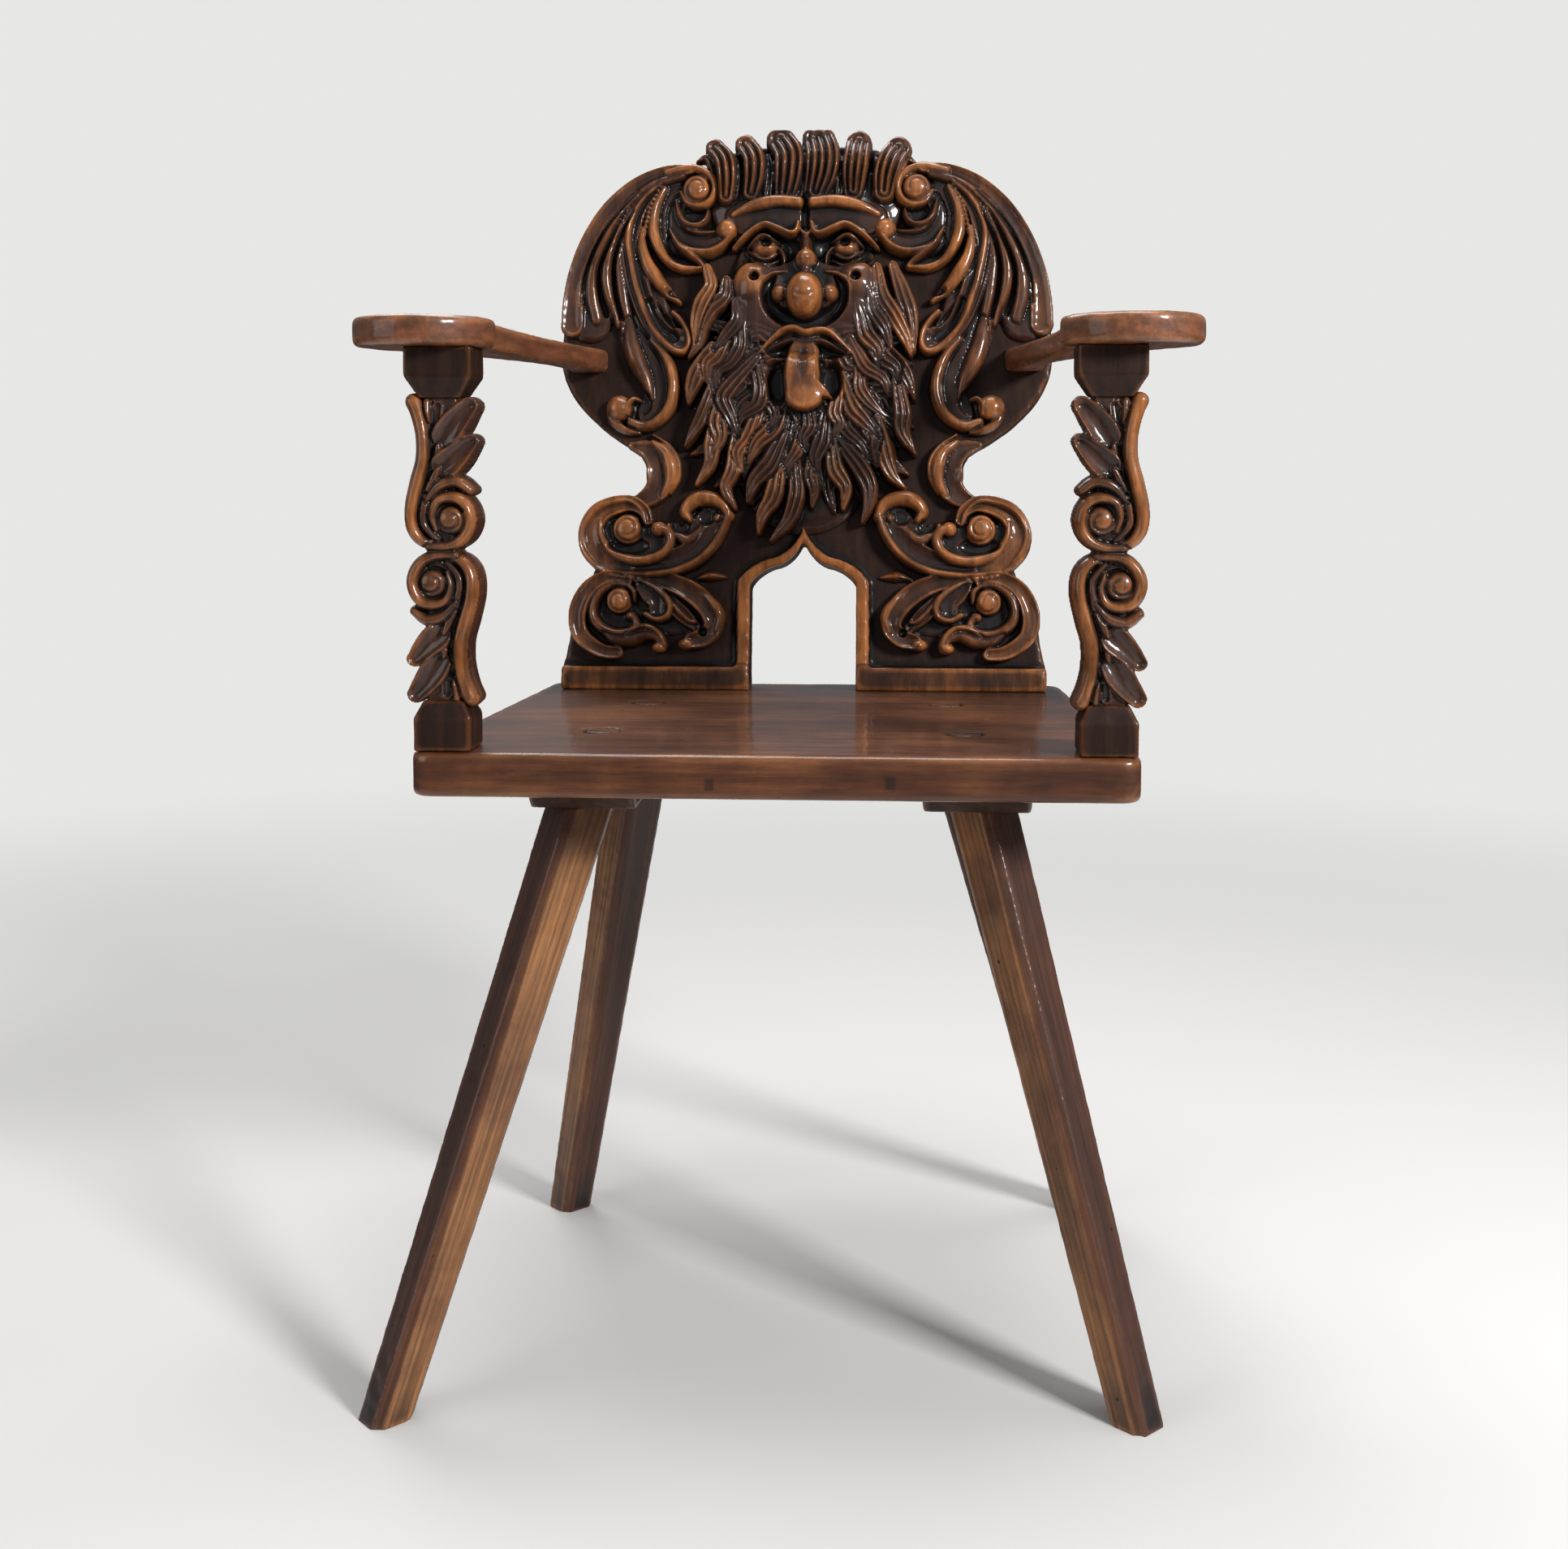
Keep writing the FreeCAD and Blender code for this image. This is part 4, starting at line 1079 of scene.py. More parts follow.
@dataclass(frozen=True)
class Ageing:
    """How far a plain worked piece has been rounded, rippled and rubbed."""

    voxel: float = 2.0
    ease: int = 2
    uneven: float = 0.25
    tone: float = 0.45
    seed: int = 1

    def age(self, name: str, shape: bmesh.types.BMesh) -> bpy.types.Object:
        """Evens a closed shape's mesh, wears its edges and stores how exposed each spot is.

        Args:
            name: the piece's name.
            shape: its sharp-edged geometry, which is freed.

        Returns:
            The new piece, with the attributes wear and tone.
        """
        raw = add_mesh(name + "_raw", shape)
        remesh = raw.modifiers.new("even", "REMESH")
        remesh.mode = "VOXEL"
        remesh.voxel_size = self.voxel * MM
        remesh.use_smooth_shade = True
        depsgraph = bpy.context.evaluated_depsgraph_get()
        mesh = bpy.data.meshes.new_from_object(raw.evaluated_get(depsgraph))
        bpy.data.objects.remove(raw)
        mesh.name = name
        piece = bpy.data.objects.new(name, mesh)
        bpy.context.scene.collection.objects.link(piece)
        self._wear(piece)
        return piece

    def _wear(self, piece: bpy.types.Object) -> None:
        """Rounds the edges, ripples the faces and marks the exposed spots.

        Args:
            piece: the evened piece.
        """
        spots = rows_of(piece)
        count = len(spots)
        pairs = np.empty(len(piece.data.edges) * 2, int)
        piece.data.edges.foreach_get("vertices", pairs)
        a, b = pairs.reshape(-1, 2).T
        degree = np.bincount(pairs, minlength=count).astype(float)

        def around(values: np.ndarray) -> np.ndarray:
            """Mean of the neighbours' values at each vertex."""
            return (np.bincount(a, values[b], count) + np.bincount(b, values[a], count)) / degree

        def between(rows: np.ndarray) -> np.ndarray:
            """Mean of the neighbours' places at each vertex."""
            return np.column_stack([around(axis) for axis in rows.T])

        for _ in range(self.ease):
            spots = spots + 0.5 * (between(spots) - spots)
        move_to(piece, spots)
        normals = rows_of(piece, "normal")
        wide = spots
        for _ in range(WIDE_PASSES):
            wide = between(wide)
        proud = ((spots - wide) * normals).sum(axis=1) / (self.voxel * MM)
        for _ in range(PROUD_PASSES):
            proud = 0.5 * proud + 0.5 * around(proud)
        noise = np.random.default_rng(self.seed).standard_normal(count)
        for _ in range(RIPPLE_PASSES):
            noise = around(noise)
        ripple = np.clip(noise / noise.std(), -RIPPLE_LIMIT, RIPPLE_LIMIT) * self.uneven * MM * 0.5
        move_to(piece, spots + normals * ripple[:, None])
        set_share(piece, "wear_and_shade", np.clip(FLAT_WEAR + PROUD_GAIN * proud, 0.0, 1.0))
        set_share(piece, "tone", np.full(count, self.tone))


# Carved back


@dataclass
class CarvedBack:
    """The raked back board with its mask, leaves and scrolls."""

    rake: float = 9.0
    front: float = 373.0
    step: float = 0.8
    head_step: float = 0.85
    tool_depth: float = 0.35
    cheek_level: float = 335.0
    proud: float = 3.0
    plinth: float = 23.0
    ground_tone: float = 0.2
    plinth_tone: float = 0.6
    moulding_tone: float = 1.0
    moulding_rub: float = 0.25
    ageing: Ageing = Ageing(2.4, 1, 0.3, 0.3, 5)
    panel: Panel = field(init=False)

    def __post_init__(self) -> None:
        """Works out where the board's front face stands."""
        low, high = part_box("seat_plank")
        tilt = math.radians(self.rake)
        self.panel = Panel(Vector((0.0, low.y + self.front * MM, high.z)), Vector((1.0, 0.0, 0.0)),
                           Vector((0.0, math.sin(tilt), math.cos(tilt))),
                           Vector((0.0, -math.cos(tilt), math.sin(tilt))))

    def side_panel(self, side: Side) -> Panel:
        """Panel on which a left-hand drawing lands on the given side."""
        return Panel(self.panel.origin, self.panel.along * side.sign, self.panel.up, self.panel.out)

    def board(self) -> bpy.types.Object:
        """Ages the board behind the carving, more rubbed on its moulding and plinth.

        Returns:
            The board.
        """
        piece = self.ageing.age("back_board", solid_copy("back_plank"))
        away = rows_of(piece) - np.array(self.panel.origin)
        raised = away @ np.array(self.panel.out) > self.proud * MM
        plinth = away @ np.array(self.panel.up) < self.plinth * MM
        rubbed = np.where(plinth, self.plinth_tone, self.moulding_tone)
        wear_and_shade = get_share(piece, "wear_and_shade")
        set_share(piece, "tone", np.where(raised, rubbed, self.ground_tone))
        worn = np.minimum(wear_and_shade + self.moulding_rub, 1.0)
        set_share(piece, "wear_and_shade", np.where(raised & ~plinth, worn, wear_and_shade))
        return piece

    def leaf(self) -> Relief:
        """Draws the tall acanthus leaf beside the mask.

        Returns:
            Its relief.
        """
        r = Relief((-232.0, 226.0), (-50.0, 486.0), self.step)
        r.drift = -2.0
        cove = Section.COVE
        flute = Section.FLUTE
        bead = Section.BEADED
        flat = Section.FLAT
        plain = Section.ROUND
        r.lay(
            Stroke(((-120, 450), (-158, 425), (-186, 372), (-196, 336)), (18, 34, 20), (9, 9, 6),
                   flat, 0.15),
            Stroke(((-132, 430), (-148, 388), (-138, 345), (-122, 318)), (14, 20, 12), (8, 9, 7),
                   flat, 0.15),
            Stroke(((-162, 350), (-152, 312), (-132, 275), (-140, 250)), (12, 15, 12), (7, 7, 6),
                   flat, 0.15),
            Stroke(((-126, 424), (-110, 410), (-86, 406)), (14, 16, 8), (6, 6, 5), flat, 0.15),
        )
        r.lay(
            Stroke(((-104, 476), (-128, 473), (-154, 461), (-177, 440), (-195, 412), (-206, 383),
                    (-211, 357), (-212, 332)), (5, 9.0, 11), (17, 15, 10), flute, 0.55),
            Stroke(((-112, 470), (-132, 464), (-152, 450), (-171, 427), (-185, 402), (-193, 378),
                    (-194, 358), (-190, 338)), (5, 9.5, 7), (15, 17, 10), plain, 0.35, over=3.0),
            Stroke(((-140, 455), (-157, 440), (-170, 421), (-178, 398), (-181, 377), (-178, 359),
                    (-172, 344), (-169, 332)), (4, 7.5, 4), (14, 17, 10), plain, 0.35, over=3.0),
            Stroke(((-140, 457), (-155, 444), (-166, 430), (-173, 415), (-177, 399), (-178, 386)),
                   (2.4, 5.0, 3.6), (14, 17, 14), bead, 0.9),
            Stroke(((-136, 459), (-153, 443), (-164, 422), (-168, 396), (-166, 366), (-162, 338),
                    (-159, 314)), (4, 8.0, 7), (14, 16, 12), plain, 0.3, over=3.0),
            Stroke(((-132, 461), (-147, 446), (-156, 426), (-158, 404), (-154, 380), (-147, 356),
                    (-138, 336), (-126, 322), (-114, 318)), (4, 11, 11), (14, 16, 13), flute, 0.3, over=4.0),
            Stroke(((-130, 464), (-146, 450), (-157, 432), (-161, 412), (-158, 390), (-152, 364),
                    (-143, 340), (-133, 322), (-121, 310), (-110, 306), (-104, 312), (-105, 324),
                    (-112, 336), (-119, 343)), (3, 5.0, 3), (15, 19.5, 15), plain, 0.6),
        )
        r.cut(
            Stroke(((-140, 352), (-131, 336), (-118, 320)), (5, 9, 5), (5, 8, 5)),
            Stroke(((-164, 437), (-176, 412), (-187, 384), (-187, 362), (-181, 342)), (1.4, 2.6, 3),
                   (3, 7, 6)),
            Stroke(((-156, 437), (-168, 412), (-174, 386), (-172, 360), (-166, 338)), (1.4, 2.4, 3),
                   (3, 7, 6)),
            Stroke(((-152, 455), (-174, 431), (-191, 404), (-201, 376), (-203, 352)), (1.2, 2.2, 2.6),
                   (3, 6, 5)),
        )
        r.lay(
            Stroke(((-147, 420), (-147, 402), (-142, 386), (-131, 369), (-113, 352)), (4, 8.5, 2.2),
                   (15, 18, 13), plain, 1.0, over=5.0),
            Stroke(((-131, 459), (-138, 444), (-143, 428), (-146, 414)), (2.6, 4.2, 3.2), (16, 19, 16),
                   bead, 1.0),
            Stroke(((-116, 449), (-119, 434), (-113, 417), (-99, 408), (-84, 408), (-73, 413)), (5, 12, 7),
                   (9, 7, 11), plain, 0.15, over=5.0),
            Stroke(((-128, 458), (-136, 440), (-138, 420), (-134, 404), (-126, 391), (-112, 384),
                    (-92, 384)), (4, 7.0, 2.4), (15, 18, 13), plain, 0.9, over=5.0),
            Stroke(((-124, 422), (-115, 406), (-105, 398), (-96, 391), (-90, 385)), (3, 8, 3), (11, 17, 13),
                   cove, 0.5),
            Stroke(((-121, 413), (-106, 402), (-90, 399), (-78, 403), (-69, 411), (-63, 419)), (4, 9, 6),
                   (11, 17, 17), cove, 0.6),
            Stroke(((-118, 448), (-114, 433), (-107, 425), (-97, 424), (-90, 430), (-88, 438)), (3, 8, 3.5),
                   (12, 17, 12), cove, 0.4),
            Stroke(((-113, 425), (-104, 419), (-92, 417), (-82, 418)), (3, 6, 4), (11, 14, 13), cove, 0.3),
            Stroke(((-160, 336), (-156, 312), (-150, 295), (-142, 279), (-138, 264)), (6, 9.5, 3),
                   (10, 15, 11), plain, 0.4, over=5.0),
            Stroke(((-138, 318), (-127, 305), (-120, 290), (-117, 272), (-121, 255), (-130, 244),
                    (-143, 238), (-156, 242)), (4, 6.5, 4.5), (13, 18, 15), plain, 0.6),
            Stroke(((-178, 253), (-173, 243), (-161, 235), (-148, 232)), (2, 5.0, 2), (8, 12, 9),
                   plain, 0.5),
        )
        r.sink(
            Dome((-146, 260), (9, 12), 3.0),
            Dome((-103, 438), (8, 6), 3.0),
            Dome((-114, 362), (12, 6), 3.0),
        )
        r.cut(Stroke(((-144, 412), (-137, 396), (-126, 383), (-110, 376), (-96, 374)), (2, 4, 3),
                     (6, 12, 9)))
        r.swell_up(
            Dome((-167, 255), (12.5, 12.5), 17.0, 4.0, 0.75),
            Dome((-70, 420), (11.0, 11.0), 19.5, 4.0, 1.0),
        )
        r.lay(
            Stroke(((-158, 249), (-159, 257), (-154, 263), (-148, 262)), (2.4, 3.4, 2.0), (14, 16, 12),
                   plain, 0.8),
            Stroke(((-114, 456), (-107, 445), (-94, 442), (-84, 449), (-82, 461), (-89, 472), (-104, 477),
                    (-126, 473)), (2.5, 4.8, 5.5), (12, 19, 16), plain, 1.0),
        )
        r.snail((-98, 457), 14.0, 20.0, -1.2, 1.0)
        return r

    def waist(self) -> Relief:
        """Draws the C-scroll at the narrow waist of the board.

        Returns:
            Its relief.
        """
        r = Relief((-172.0, 160.0), (-100.0, 240.0), self.step)
        r.lay(
            Stroke(((-157, 221), (-143, 217), (-133, 207), (-130, 195), (-132, 183), (-140, 174),
                    (-153, 168)), (4, 14, 6), (9, 13.5, 9), Section.FLUTE, 0.4),
            Stroke(((-138, 224), (-126, 214), (-121, 202), (-121, 188), (-128, 175)), (3, 8.5, 4),
                   (12, 17, 11), Section.ROUND, 0.9, over=3.0),
            Stroke(((-138, 231), (-122, 220), (-113.5, 206), (-113.5, 190), (-121, 176)), (1.4, 2.2, 1.4),
                   (9, 13, 9), Section.ROUND, 0.6),
        )
        return r

    def scrolls(self) -> Relief:
        """Draws the two scrolled leaves beside the arch.

        Returns:
            Their relief.
        """
        r = Relief((-218.0, 20.0), (-56.0, 186.0), self.step)
        flute = Section.FLUTE
        crest = Section.CREST
        flat = Section.FLAT
        plain = Section.ROUND
        r.lay(
            Stroke(((-185, 140), (-150, 130), (-105, 128), (-85, 150)), (14, 26, 16), (7, 7, 7), flat, 0.15),
            Stroke(((-190, 70), (-150, 70), (-110, 66), (-90, 60)), (14, 24, 12), (2, 2, 2), flat, 0.1),
            Stroke(((-141, 152), (-145, 161), (-156, 167), (-172, 165), (-186, 157), (-193, 142),
                    (-190, 126), (-178, 114), (-160, 108), (-138, 107), (-118, 110)), (5, 12.0, 5),
                   (15, 16, 10), flute, 0.75),
            Stroke(((-142, 148), (-146, 160), (-157, 169), (-173, 168), (-190, 160), (-199, 144),
                    (-197, 127), (-185, 111)), (1.8, 3.6, 2.4), (15, 17, 13), plain, 0.6),
            Stroke(((-184, 150), (-183, 138), (-177, 127), (-166, 119), (-151, 115), (-136, 117),
                    (-125, 123), (-120, 132), (-122, 141), (-131, 145)), (3, 6.0, 5.4), (15, 18, 18),
                   plain, 0.85, over=3.0),
            Stroke(((-150, 110), (-124, 112), (-103, 120), (-88, 133), (-78, 150)), (6, 13, 9), (12, 14, 13),
                   flute, 0.25),
            Stroke(((-162, 104), (-140, 103), (-120, 105), (-104, 110), (-90, 119), (-79, 131), (-72, 144),
                    (-68, 157)), (3, 5, 4.5), (13, 17, 16), plain, 0.55),
            Stroke(((-67, 156), (-73, 167), (-86, 172), (-99, 170), (-107, 161), (-104, 153)),
                   (5.5, 8.5, 5.0), (15, 18, 14), plain, 0.85),
            Stroke(((-122, 148), (-113, 138), (-104, 134), (-95, 141), (-90, 150)), (3, 6.5, 3),
                   (11, 15, 10), plain, 0.3),
            Stroke(((-158, 97), (-167, 101), (-181, 99), (-193, 91), (-201, 78), (-204, 63), (-201, 49),
                    (-191, 39), (-179, 33), (-167, 32)), (4, 8.5, 6.0), (13, 16, 12), flute, 0.7, over=4.0),
            Stroke(((-158, 93), (-171, 94), (-183, 87), (-189, 76), (-189, 64), (-182, 55), (-170, 50),
                    (-157, 51), (-150, 58), (-154, 66)), (3, 5.5, 4.2), (12, 16, 13), plain, 0.4, over=2.0),
            Stroke(((-160, 94), (-153, 88), (-152, 78)), (2.4, 3.4, 2), (11, 13, 10), plain, 0.6),
            Stroke(((-152, 100), (-130, 98), (-110, 92), (-94, 82), (-83, 69), (-80, 56), (-88, 46),
                    (-99, 43)), (4, 10.5, 8.0), (12, 16, 15), flute, 0.45),
            Stroke(((-92, 88), (-79, 75), (-74, 64), (-77, 52)), (2, 5.5, 4.5), (12, 17, 15), plain, 0.5),
            Stroke(((-121, 84), (-113, 72), (-104, 63), (-96, 56)), (3, 8.0, 5), (10, 14, 11), flute, 0.3),
            Stroke(((-151, 100), (-140, 89), (-132, 79), (-131, 70)), (3, 10.5, 8), (10, 13, 11),
                   flute, 0.25),
            Stroke(((-151, 100), (-134, 91), (-123, 82), (-119, 73), (-122, 65), (-132, 62), (-142, 67)),
                   (2.4, 4.2, 3.4), (11, 17.5, 14), plain, 0.5, over=3.0),
            Stroke(((-121, 82), (-111, 69), (-102, 61), (-97, 60)), (2, 3.6, 2.6), (11, 16, 14), plain, 0.4),
            Stroke(((-185, 58), (-171, 45), (-156, 43), (-142, 48), (-131, 46), (-126, 38)), (3, 7.0, 5),
                   (11, 14, 14), plain, 0.25, over=3.0),
            Stroke(((-163, 48), (-149, 55), (-137, 55), (-128, 48), (-124, 39)), (2, 3.8, 3.4),
                   (11, 16.5, 15), plain, 0.5, over=3.0),
            Stroke(((-98, 99), (-85, 102), (-69, 101)), (2, 6.5, 2), (5, 10, 4), crest, 0.5),
            Stroke(((-188, 104), (-170, 105), (-150, 103)), (3, 5, 4), (8, 12, 9), plain, 0.5),
        )
        r.sink(
            Dome((-88, 155), (9, 8), 4.0, fullness=0.7),
            Dome((-111, 147), (9, 7), 3.0),
            Dome((-158, 129), (19, 8), 3.0),
            Dome((-90, 51), (4, 4), 4.0),
        )
        r.swell_up(
            Dome((-131, 144), (8.0, 7.5), 19.0, 4.0, 0.85),
            Dome((-78, 154), (4.5, 4.5), 14.0, 4.0, 0.5),
            Dome((-156, 65), (5.0, 4.6), 15.0, 3.0, 0.5),
            Dome((-104, 40), (8.5, 6.0), 16.0, 3.0, 0.9),
            Dome((-129, 37), (7.5, 5.5), 15.5, 3.0, 0.9),
        )
        r.snail((-159, 144), 14.0, 18.5, -1.4, 1.0)
        r.snail((-166, 79), 12.0, 17.0, -1.1, 1.0)
        return r

    def head(self) -> Relief:
        """Draws the grotesque mask with its hair and beard.

        Returns:
            Its relief.
        """
        r = Relief((-114.0, 122.0), (114.0, 512.0), self.head_step)
        self._ground(r)
        r.drift = -4.0
        self._beard(r)
        self._hair(r)
        r.drift = 0.0
        self._face(r)
        return r

    @staticmethod
    def _ground(r: Relief) -> None:
        """Lays the domed block that the mask is cut from.

        Args:
            r: the relief of the head.
        """
        r.swell_up(
            Dome((0, 268), (98, 106), 13.0, 2.0, 0.1),
            Dome((0, 205), (62, 66), 11.0, 1.5, 0.1),
            Dome((0, 440), (88, 48), 16.0, 2.0, 0.15, blend=3.0),
            Dome((0, 362), (68, 84), 20.0, 3.0, 0.25, blend=4.0),
        )

    @staticmethod
    def _hair(r: Relief) -> None:
        """Lays the upright curling locks over the brow.

        Args:
            r: the relief of the head.
        """
        # Each lock's line, its half width and its strands
        locks = (
            (((-80, 496), (-71, 484), (-68, 467), (-69, 449)), 10.5, 3),
            (((-52, 499), (-44, 485), (-43, 468), (-46, 452)), 11.5, 3),
            (((-20, 503), (-12, 488), (-12, 469), (-15, 451)), 15.0, 4),
            (((15, 504), (19, 488), (18, 470), (13, 453)), 17.0, 5),
            (((52, 500), (50, 486), (48, 468), (47, 453)), 13.0, 4),
            (((88, 494), (82, 483), (77, 467), (75, 452)), 13.5, 4),
        )
        strands = Section.STRANDS
        for u in (-62, -31, -2, 34, 68):
            r.lay(Stroke(((u, 488), (u + 2, 470), (u, 450)), (3, 6, 5), (14, 20, 18),
                         strands, 0.15, 2, foot=8.0))
        r.lay(
            Stroke(((-97, 485), (-88, 487), (-81, 476), (-78, 460)), (1.5, 5, 3), (10, 19, 17),
                   strands, 0.3, 2),
            Stroke(((103, 482), (95, 485), (90, 474), (84, 458)), (2, 6, 3), (11, 20, 17), strands, 0.4, 2),
        )
        for path, wide, count in locks:
            r.lay(Stroke(path, (wide * 0.9, wide, wide * 0.74), (15, 30, 22),
                         strands, 0.35, count, foot=10.0, over=6.0))

    def _beard(self, r: Relief) -> None:
        """Lays the wavy locks of the beard, the lower ones first.

        Args:
            r: the relief of the head.
        """
        strands = Section.STRANDS
        chin = Vector((4.0, 316.0))
        fan = 98.0
        sway = 4.0
        # How far the beard reaches at a turn from straight down, in degrees
        reach = ((-105.0, 88.0), (-82.0, 98.0), (-59.0, 112.0), (-46.0, 136.0), (-35.0, 150.0),
                 (-20.0, 158.0), (-8.0, 172.0), (8.0, 160.0), (20.0, 154.0), (35.0, 152.0),
                 (46.0, 138.0), (59.0, 112.0), (82.0, 98.0), (105.0, 88.0))
        # Count of a row's locks, where they end and start as shares of the reach, and their height
        rows = ((15, 1.0, 0.56, 15.0), (15, 0.84, 0.44, 17.0), (14, 0.68, 0.34, 19.0),
                (12, 0.53, 0.24, 21.0))
        for row, (count, tip, root, top) in enumerate(rows):
            for index in range(count):
                turn = fan * (2.0 * (index + 0.5 * (row % 2)) / (count - 0.5) - 1.0)
                long = float(np.interp(turn, *zip(*reach))) * (1.0 + 0.05 * math.sin(5.1 * index + row))
                bend = sway * math.sin(math.radians(2.2 * turn) + 1.9 * row)
                ray = Vector((math.sin(math.radians(turn)), -math.cos(math.radians(turn))))
                across = Vector((-ray.y, ray.x))
                path = []
                for share, push in ((0.0, 0.0), (0.35, bend), (0.72, -bend), (1.0, 0.4 * bend)):
                    spot = chin + ray * (long * (root + share * (tip - root))) + across * push
                    path.append(tuple(spot))
                r.lay(Stroke(tuple(path), (6.0, 9.5, 2.0), (top, top + 1.0, top - 3.0),
                             strands, 0.3, 3, top - 8.0, over=12.0))
        # The locks on top, drawn one by one, from the chin up to the temples
        locks = (
            ((-3, 196), (-2, 174), (-9, 152), (-25, 133)),
            ((-19, 194), (-23, 172), (-32, 157), (-36, 140)),
            ((13, 208), (11, 192), (14, 178), (12, 164)),
            ((42, 216), (55, 199), (63, 183), (63, 166), (57, 150)),
            ((30, 214), (33, 197), (42, 181), (40, 162)),
            ((-58, 216), (-60, 196), (-66, 180), (-57, 162)),
            ((-20, 216), (-27, 201), (-40, 186), (-46, 168)),
            ((74, 226), (78, 206), (84, 192), (95, 181)),
            ((-76, 242), (-79, 220), (-81, 202), (-93, 184)),
            ((22, 236), (20, 222), (15, 208), (17, 194)),
            ((5, 234), (-1, 215), (-9, 202), (-10, 190)),
            ((-40, 240), (-46, 224), (-55, 212), (-52, 196)),
            ((60, 240), (66, 226), (66, 212), (70, 200)),
            ((39, 248), (43, 233), (56, 220), (65, 204)),
            ((-18, 248), (-24, 234), (-38, 221), (-46, 204)),
            ((90, 266), (93, 248), (93, 232), (104, 212)),
            ((-80, 268), (-86, 250), (-93, 236), (-103, 219)),
            ((-70, 256), (-74, 240), (-72, 226), (-78, 212)),
            ((8, 248), (9, 236), (4, 226), (6, 214)),
            ((-30, 276), (-26, 260), (-22, 246), (-27, 232)),
            ((42, 268), (48, 252), (58, 241), (71, 226)),
            ((34, 262), (32, 248), (36, 238), (30, 226)),
            ((-38, 288), (-35, 270), (-38, 256), (-52, 246), (-58, 232)),
            ((-50, 288), (-62, 274), (-69, 262), (-63, 247), (-55, 226)),
            ((54, 284), (55, 270), (64, 257), (77, 246)),
            ((-86, 298), (-93, 285), (-98, 272), (-101, 258)),
            ((80, 304), (92, 289), (98, 278), (103, 262)),
            ((52, 304), (60, 290), (75, 280), (81, 264)),
            ((66, 310), (76, 298), (86, 290), (88, 276)),
            ((-55, 328), (-55, 309), (-63, 295), (-74, 287), (-78, 270)),
            ((-70, 312), (-76, 300), (-84, 292), (-84, 276)),
            ((56, 334), (60, 320), (70, 308), (72, 294)),
            ((-59, 348), (-58, 333), (-68, 319), (-78, 306)),
            ((85, 380), (92, 360), (99, 336), (103, 306)),
            ((70, 378), (74, 356), (86, 335), (95, 318), (100, 302)),
            ((64, 356), (66, 342), (76, 326), (82, 308)),
            ((-68, 368), (-70, 355), (-83, 343), (-91, 328), (-93, 312), (-101, 300)),
            ((-85, 380), (-82, 366), (-90, 350), (-95, 332), (-95, 314)),
        )
        for index, path in enumerate(locks):
            wide = 8.8 + 1.2 * math.sin(2.3 * index)
            top = 24.0 + 1.5 * math.sin(1.3 * index)
            tone = 0.42 + 0.3 * math.sin(1.9 * index)
            start, after = (np.array(spot, float) for spot in path[:2])
            root = tuple(start + (0.9 if start[1] < self.cheek_level else 0.2) * (start - after))
            r.lay(Stroke((root, *path), (wide * 0.55, wide, 2.2), (top - 3.0, top, top - 6.0),
                         strands, tone, 3, top - 9.0, over=12.0))

    @staticmethod
    def _face(r: Relief) -> None:
        """Lays brow, eyes, nose, cheeks, lips and tongue.

        Args:
            r: the relief of the head.
        """
        crest = Section.CREST
        plain = Section.ROUND
        for s in BOTH_SIDES:
            r.swell_up(
                Dome((s * 42, 352), (27, 40), 25.0, 8.0, 0.3, blend=8.0),
                Dome((s * 36, 430), (38, 20), 18.0, 11.0, 0.15, blend=4.0),
            )
            r.lay(Stroke(mirror(s, (66, 432), (48, 439), (27, 443), (6, 442)), (3, 7.0, 6.0), (19, 28, 27),
                         plain, 0.9, foot=12.0, blend=4.0))
        r.swell_up(Dome((0, 330), (46, 20), 23.0, 8.0, 0.2, blend=6.0))
        for s in BOTH_SIDES:
            r.sink(Dome((s * 35, 400), (31, 17), 5.0, fullness=0.45))
            r.lay(
                Stroke(mirror(s, (66, 401), (53, 412), (38, 420), (26, 417), (14, 412), (8, 414), (6, 422)),
                       (1.8, 3.6, 2.4), (19, 33, 31), plain, 0.95, foot=12.0),
                Stroke(mirror(s, (53, 402), (39, 412), (24, 406)), (1.6, 3.2, 1.6), (14, 23, 15),
                       plain, 0.3, foot=8.0),
            )
            r.swell_up(
                Dome((s * 48, 368), (18, 20), 28.0, 16.0, 0.7, 0.9, 8.0),
                Dome((s * 37, 401), (13, 8.5), 20.0, 6.0, 0.85),
            )
            r.sink(Dome((s * 36, 406), (4.6, 4.2), 10.0))
            r.lay(
                Stroke(mirror(s, (52, 399), (38, 391), (24, 397)), (1.4, 2.6, 1.4), (13, 19, 13),
                       crest, 0.7, foot=7.0),
                Stroke(mirror(s, (50, 391), (36, 385), (24, 390)), (1.4, 2.6, 1.4), (13, 19, 15),
                       crest, 0.5, foot=8.0),
                Stroke(mirror(s, (27, 404), (21, 397), (19, 387), (23, 379)), (1.6, 3.0, 1.8), (14, 20, 19),
                       crest, 0.4, foot=8.0),
            )
        r.cut(
            Stroke(((-30, 374), (-34, 361), (-31, 347), (-20, 337), (0, 331), (20, 337), (31, 347),
                    (34, 361), (30, 374)), (4, 9, 4), (8, 15, 8)),
            Stroke(((0, 420), (0, 434), (0, 450)), (2.6, 3.6, 3.0), (4, 6, 3)),
        )
        r.stain(Dome((0, 336), (44, 20), 0.0, tone=0.02, fullness=0.3))
        for s in BOTH_SIDES:
            r.lay(Stroke(mirror(s, (18, 378), (31, 375), (40, 366), (42, 353)), (2.0, 3.4, 1.6),
                         (24, 29, 24), crest, 0.9, foot=14.0))
            r.swell_up(Dome((s * 22, 358), (9.5, 9.5), 30.0, 10.0, 0.65, 0.45))
